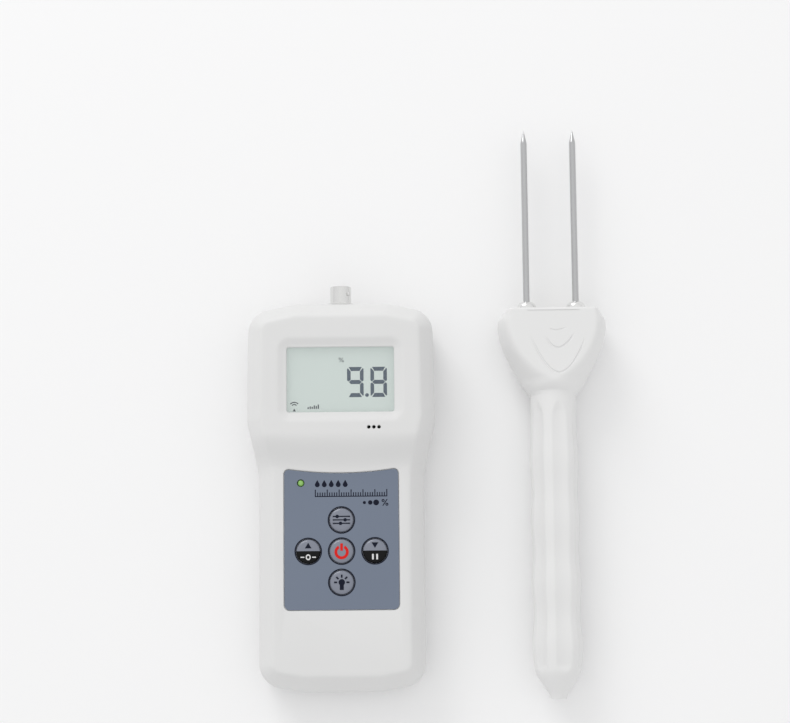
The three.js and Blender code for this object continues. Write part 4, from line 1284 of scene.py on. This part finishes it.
def probe_half(heights, posts, cuts):
    """One half shell: the form between two heights, hollowed, with its posts and cuts."""
    half = combined(probe_form(outside), [block((-40, 40), (-150, 60), heights)], "INTERSECT")
    half = combined(half, [head_hollow.copy(), handle_hollow.copy()])
    half = combined(half, posts, "UNION")
    return combined(half, cuts)


front_posts = [post(0, y, 2.9, half_seam, 8.6 if y < 0 else 11.6, 24) for y in probe_screws]
front_half = probe_half((half_seam, 30), front_posts, probe_cuts(1) + pressed)
probe_front = fitted(front_half, "probe_front", "probe", probe_plastic, probe_middle)
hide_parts("probe_front_shell")

back_posts = [post(0, y, 2.9, -8.6 if y < 0 else -9.4, -half_seam, 24) for y in probe_screws]
back_half = probe_half((-30, -half_seam), back_posts, probe_cuts(-1))
probe_back = fitted(back_half, "probe_back", "probe", probe_plastic, probe_middle)
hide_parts("probe_back_shell")


# ---- Electrode pins ----
# Two sharp ground stainless pins set in a white insulating block in the head. Each is held by a
# domed nickelled collar outside, and by a nut with its lead inside.

pin_low, pin_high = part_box("electrode_pin_left")
pin_apart = (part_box("electrode_pin_right")[0].x - pin_low.x) * 500
pin_foot = (pin_low.y - probe_middle.y) * 1000
pin_tip = (pin_high.y - probe_middle.y) * 1000
pin_steel = metal("pin_steel", (0.54, 0.545, 0.55), 0.2, 1600.0, (1.0, 0.04, 1.0))
pin_profile = [
    (0.0, pin_foot), (1.3, pin_foot), (1.5, pin_foot + 0.2), (1.5, pin_tip - 6.5),
    (1.46, pin_tip - 6.1), (1.3, pin_tip - 5.4), (0.1, pin_tip - 0.3), (0.0, pin_tip),
]
collar_low, collar_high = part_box("pin_collar_left")
collar_seat = (collar_low.y - probe_middle.y) * 1000
collar_crown = (collar_high.y - probe_middle.y) * 1000
collar_profile = [
    (1.62, collar_seat), (4.3, collar_seat), (4.4, collar_seat + 0.1), (4.4, collar_seat + 0.55),
    (4.38, collar_seat + 1.7), (4.2, collar_seat + 2.3), (3.8, collar_seat + 2.9),
    (3.2, collar_crown - 0.55), (2.6, collar_crown - 0.22), (2.1, collar_crown - 0.05), (1.8, collar_crown),
    (1.68, collar_crown), (1.62, collar_crown - 0.1), (1.62, collar_seat),
]
collar_nickel = metal("collar_nickel", (0.86, 0.86, 0.85), 0.2, 700.0, (1.0, 0.3, 1.0))
for side, x in (("left", -pin_apart), ("right", pin_apart)):
    pin = lying(turned(pin_profile, 0, 0, 48), x, 0)
    pin = fitted(pin, "pin_" + side, "probe", pin_steel, probe_middle)
    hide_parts("electrode_pin_" + side)
    collar = lying(turned(collar_profile, 0, 0, 48), x, 0)
    collar = fitted(collar, "collar_" + side, "probe", collar_nickel, probe_middle)
    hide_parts("pin_collar_" + side)
surfaced(insulator, "electrode_block")
surfaced(screw_steel, "terminal_nut_left", "terminal_nut_right")
surfaced(lead_black, "probe_lead_left")
surfaced(lead_red, "probe_lead_right")
surfaced(nickel, "probe_socket")
surfaced(gold_plate, "probe_socket_contact")


# ---- Camera, lights and floor ----
# The meter and its probe lie on a plain pale table and are seen almost from straight above.
# One broad soft panel at the upper left and an even pale room light them.

view_target = case_middle + Vector((0.02483, 0.06456, 0))
view_rise = math.radians(82.0)
camera_data = bpy.data.cameras.new("view")
camera_data.lens = 97.3
camera_data.sensor_width = 36.0
camera_data.sensor_fit = "HORIZONTAL"
camera_data.clip_start = 0.05
camera = bpy.data.objects.new("view", camera_data)
bpy.context.scene.collection.objects.link(camera)
camera.location = view_target + Vector((0, -math.cos(view_rise), math.sin(view_rise)))
looking = (view_target - camera.location).to_track_quat("-Z", "Y").to_matrix()
camera.rotation_euler = (looking @ Matrix.Rotation(math.radians(-0.56), 3, "Z")).to_euler()
bpy.context.scene.camera = camera

floor_mesh = bmesh.new()
bmesh.ops.create_grid(floor_mesh, x_segments=1, y_segments=1, size=3.0)
bmesh.ops.translate(floor_mesh, verts=floor_mesh.verts[:], vec=(0, 0, -0.0002))
floor = loose_object(floor_mesh, "table")
table_top = Finish("table_top", (0.91, 0.91, 0.91), Roughness=0.75)
table_top.bump(table_top.noise(900.0, 2.0), 0.00002, 0.2)
floor.data.materials.append(table_top.material)


def panel(name, place, aim, size, power):
    """A broad square lamp panel turned towards a point."""
    light = bpy.data.lights.new(name, "AREA")
    light.size = size
    light.energy = power
    lamp = bpy.data.objects.new(name, light)
    bpy.context.scene.collection.objects.link(lamp)
    lamp.location = place
    lamp.rotation_euler = (Vector(aim) - Vector(place)).to_track_quat("-Z", "Y").to_euler()


panel("key_panel", (-1.0, 1.99, 1.14), (0, 0, 0), 1.3, 17.5)

world = bpy.data.worlds.new("room")
bpy.context.scene.world = world
world.use_nodes = True
room = world.node_tree.nodes
background = room["Background"]
around = room.new("ShaderNodeTexCoord")
split = room.new("ShaderNodeSeparateXYZ")
shade = room.new("ShaderNodeValToRGB")
world.node_tree.links.new(around.outputs["Generated"], split.inputs[0])
world.node_tree.links.new(split.outputs["Z"], shade.inputs["Fac"])
world.node_tree.links.new(shade.outputs["Color"], background.inputs["Color"])
shade.color_ramp.elements[0].position = 0.0
shade.color_ramp.elements[0].color = (0.86, 0.86, 0.87, 1)
shade.color_ramp.elements[1].position = 1.0
shade.color_ramp.elements[1].color = (1, 1, 1, 1)
background.inputs["Strength"].default_value = 0.93
bpy.context.scene.view_settings.view_transform = "Standard"
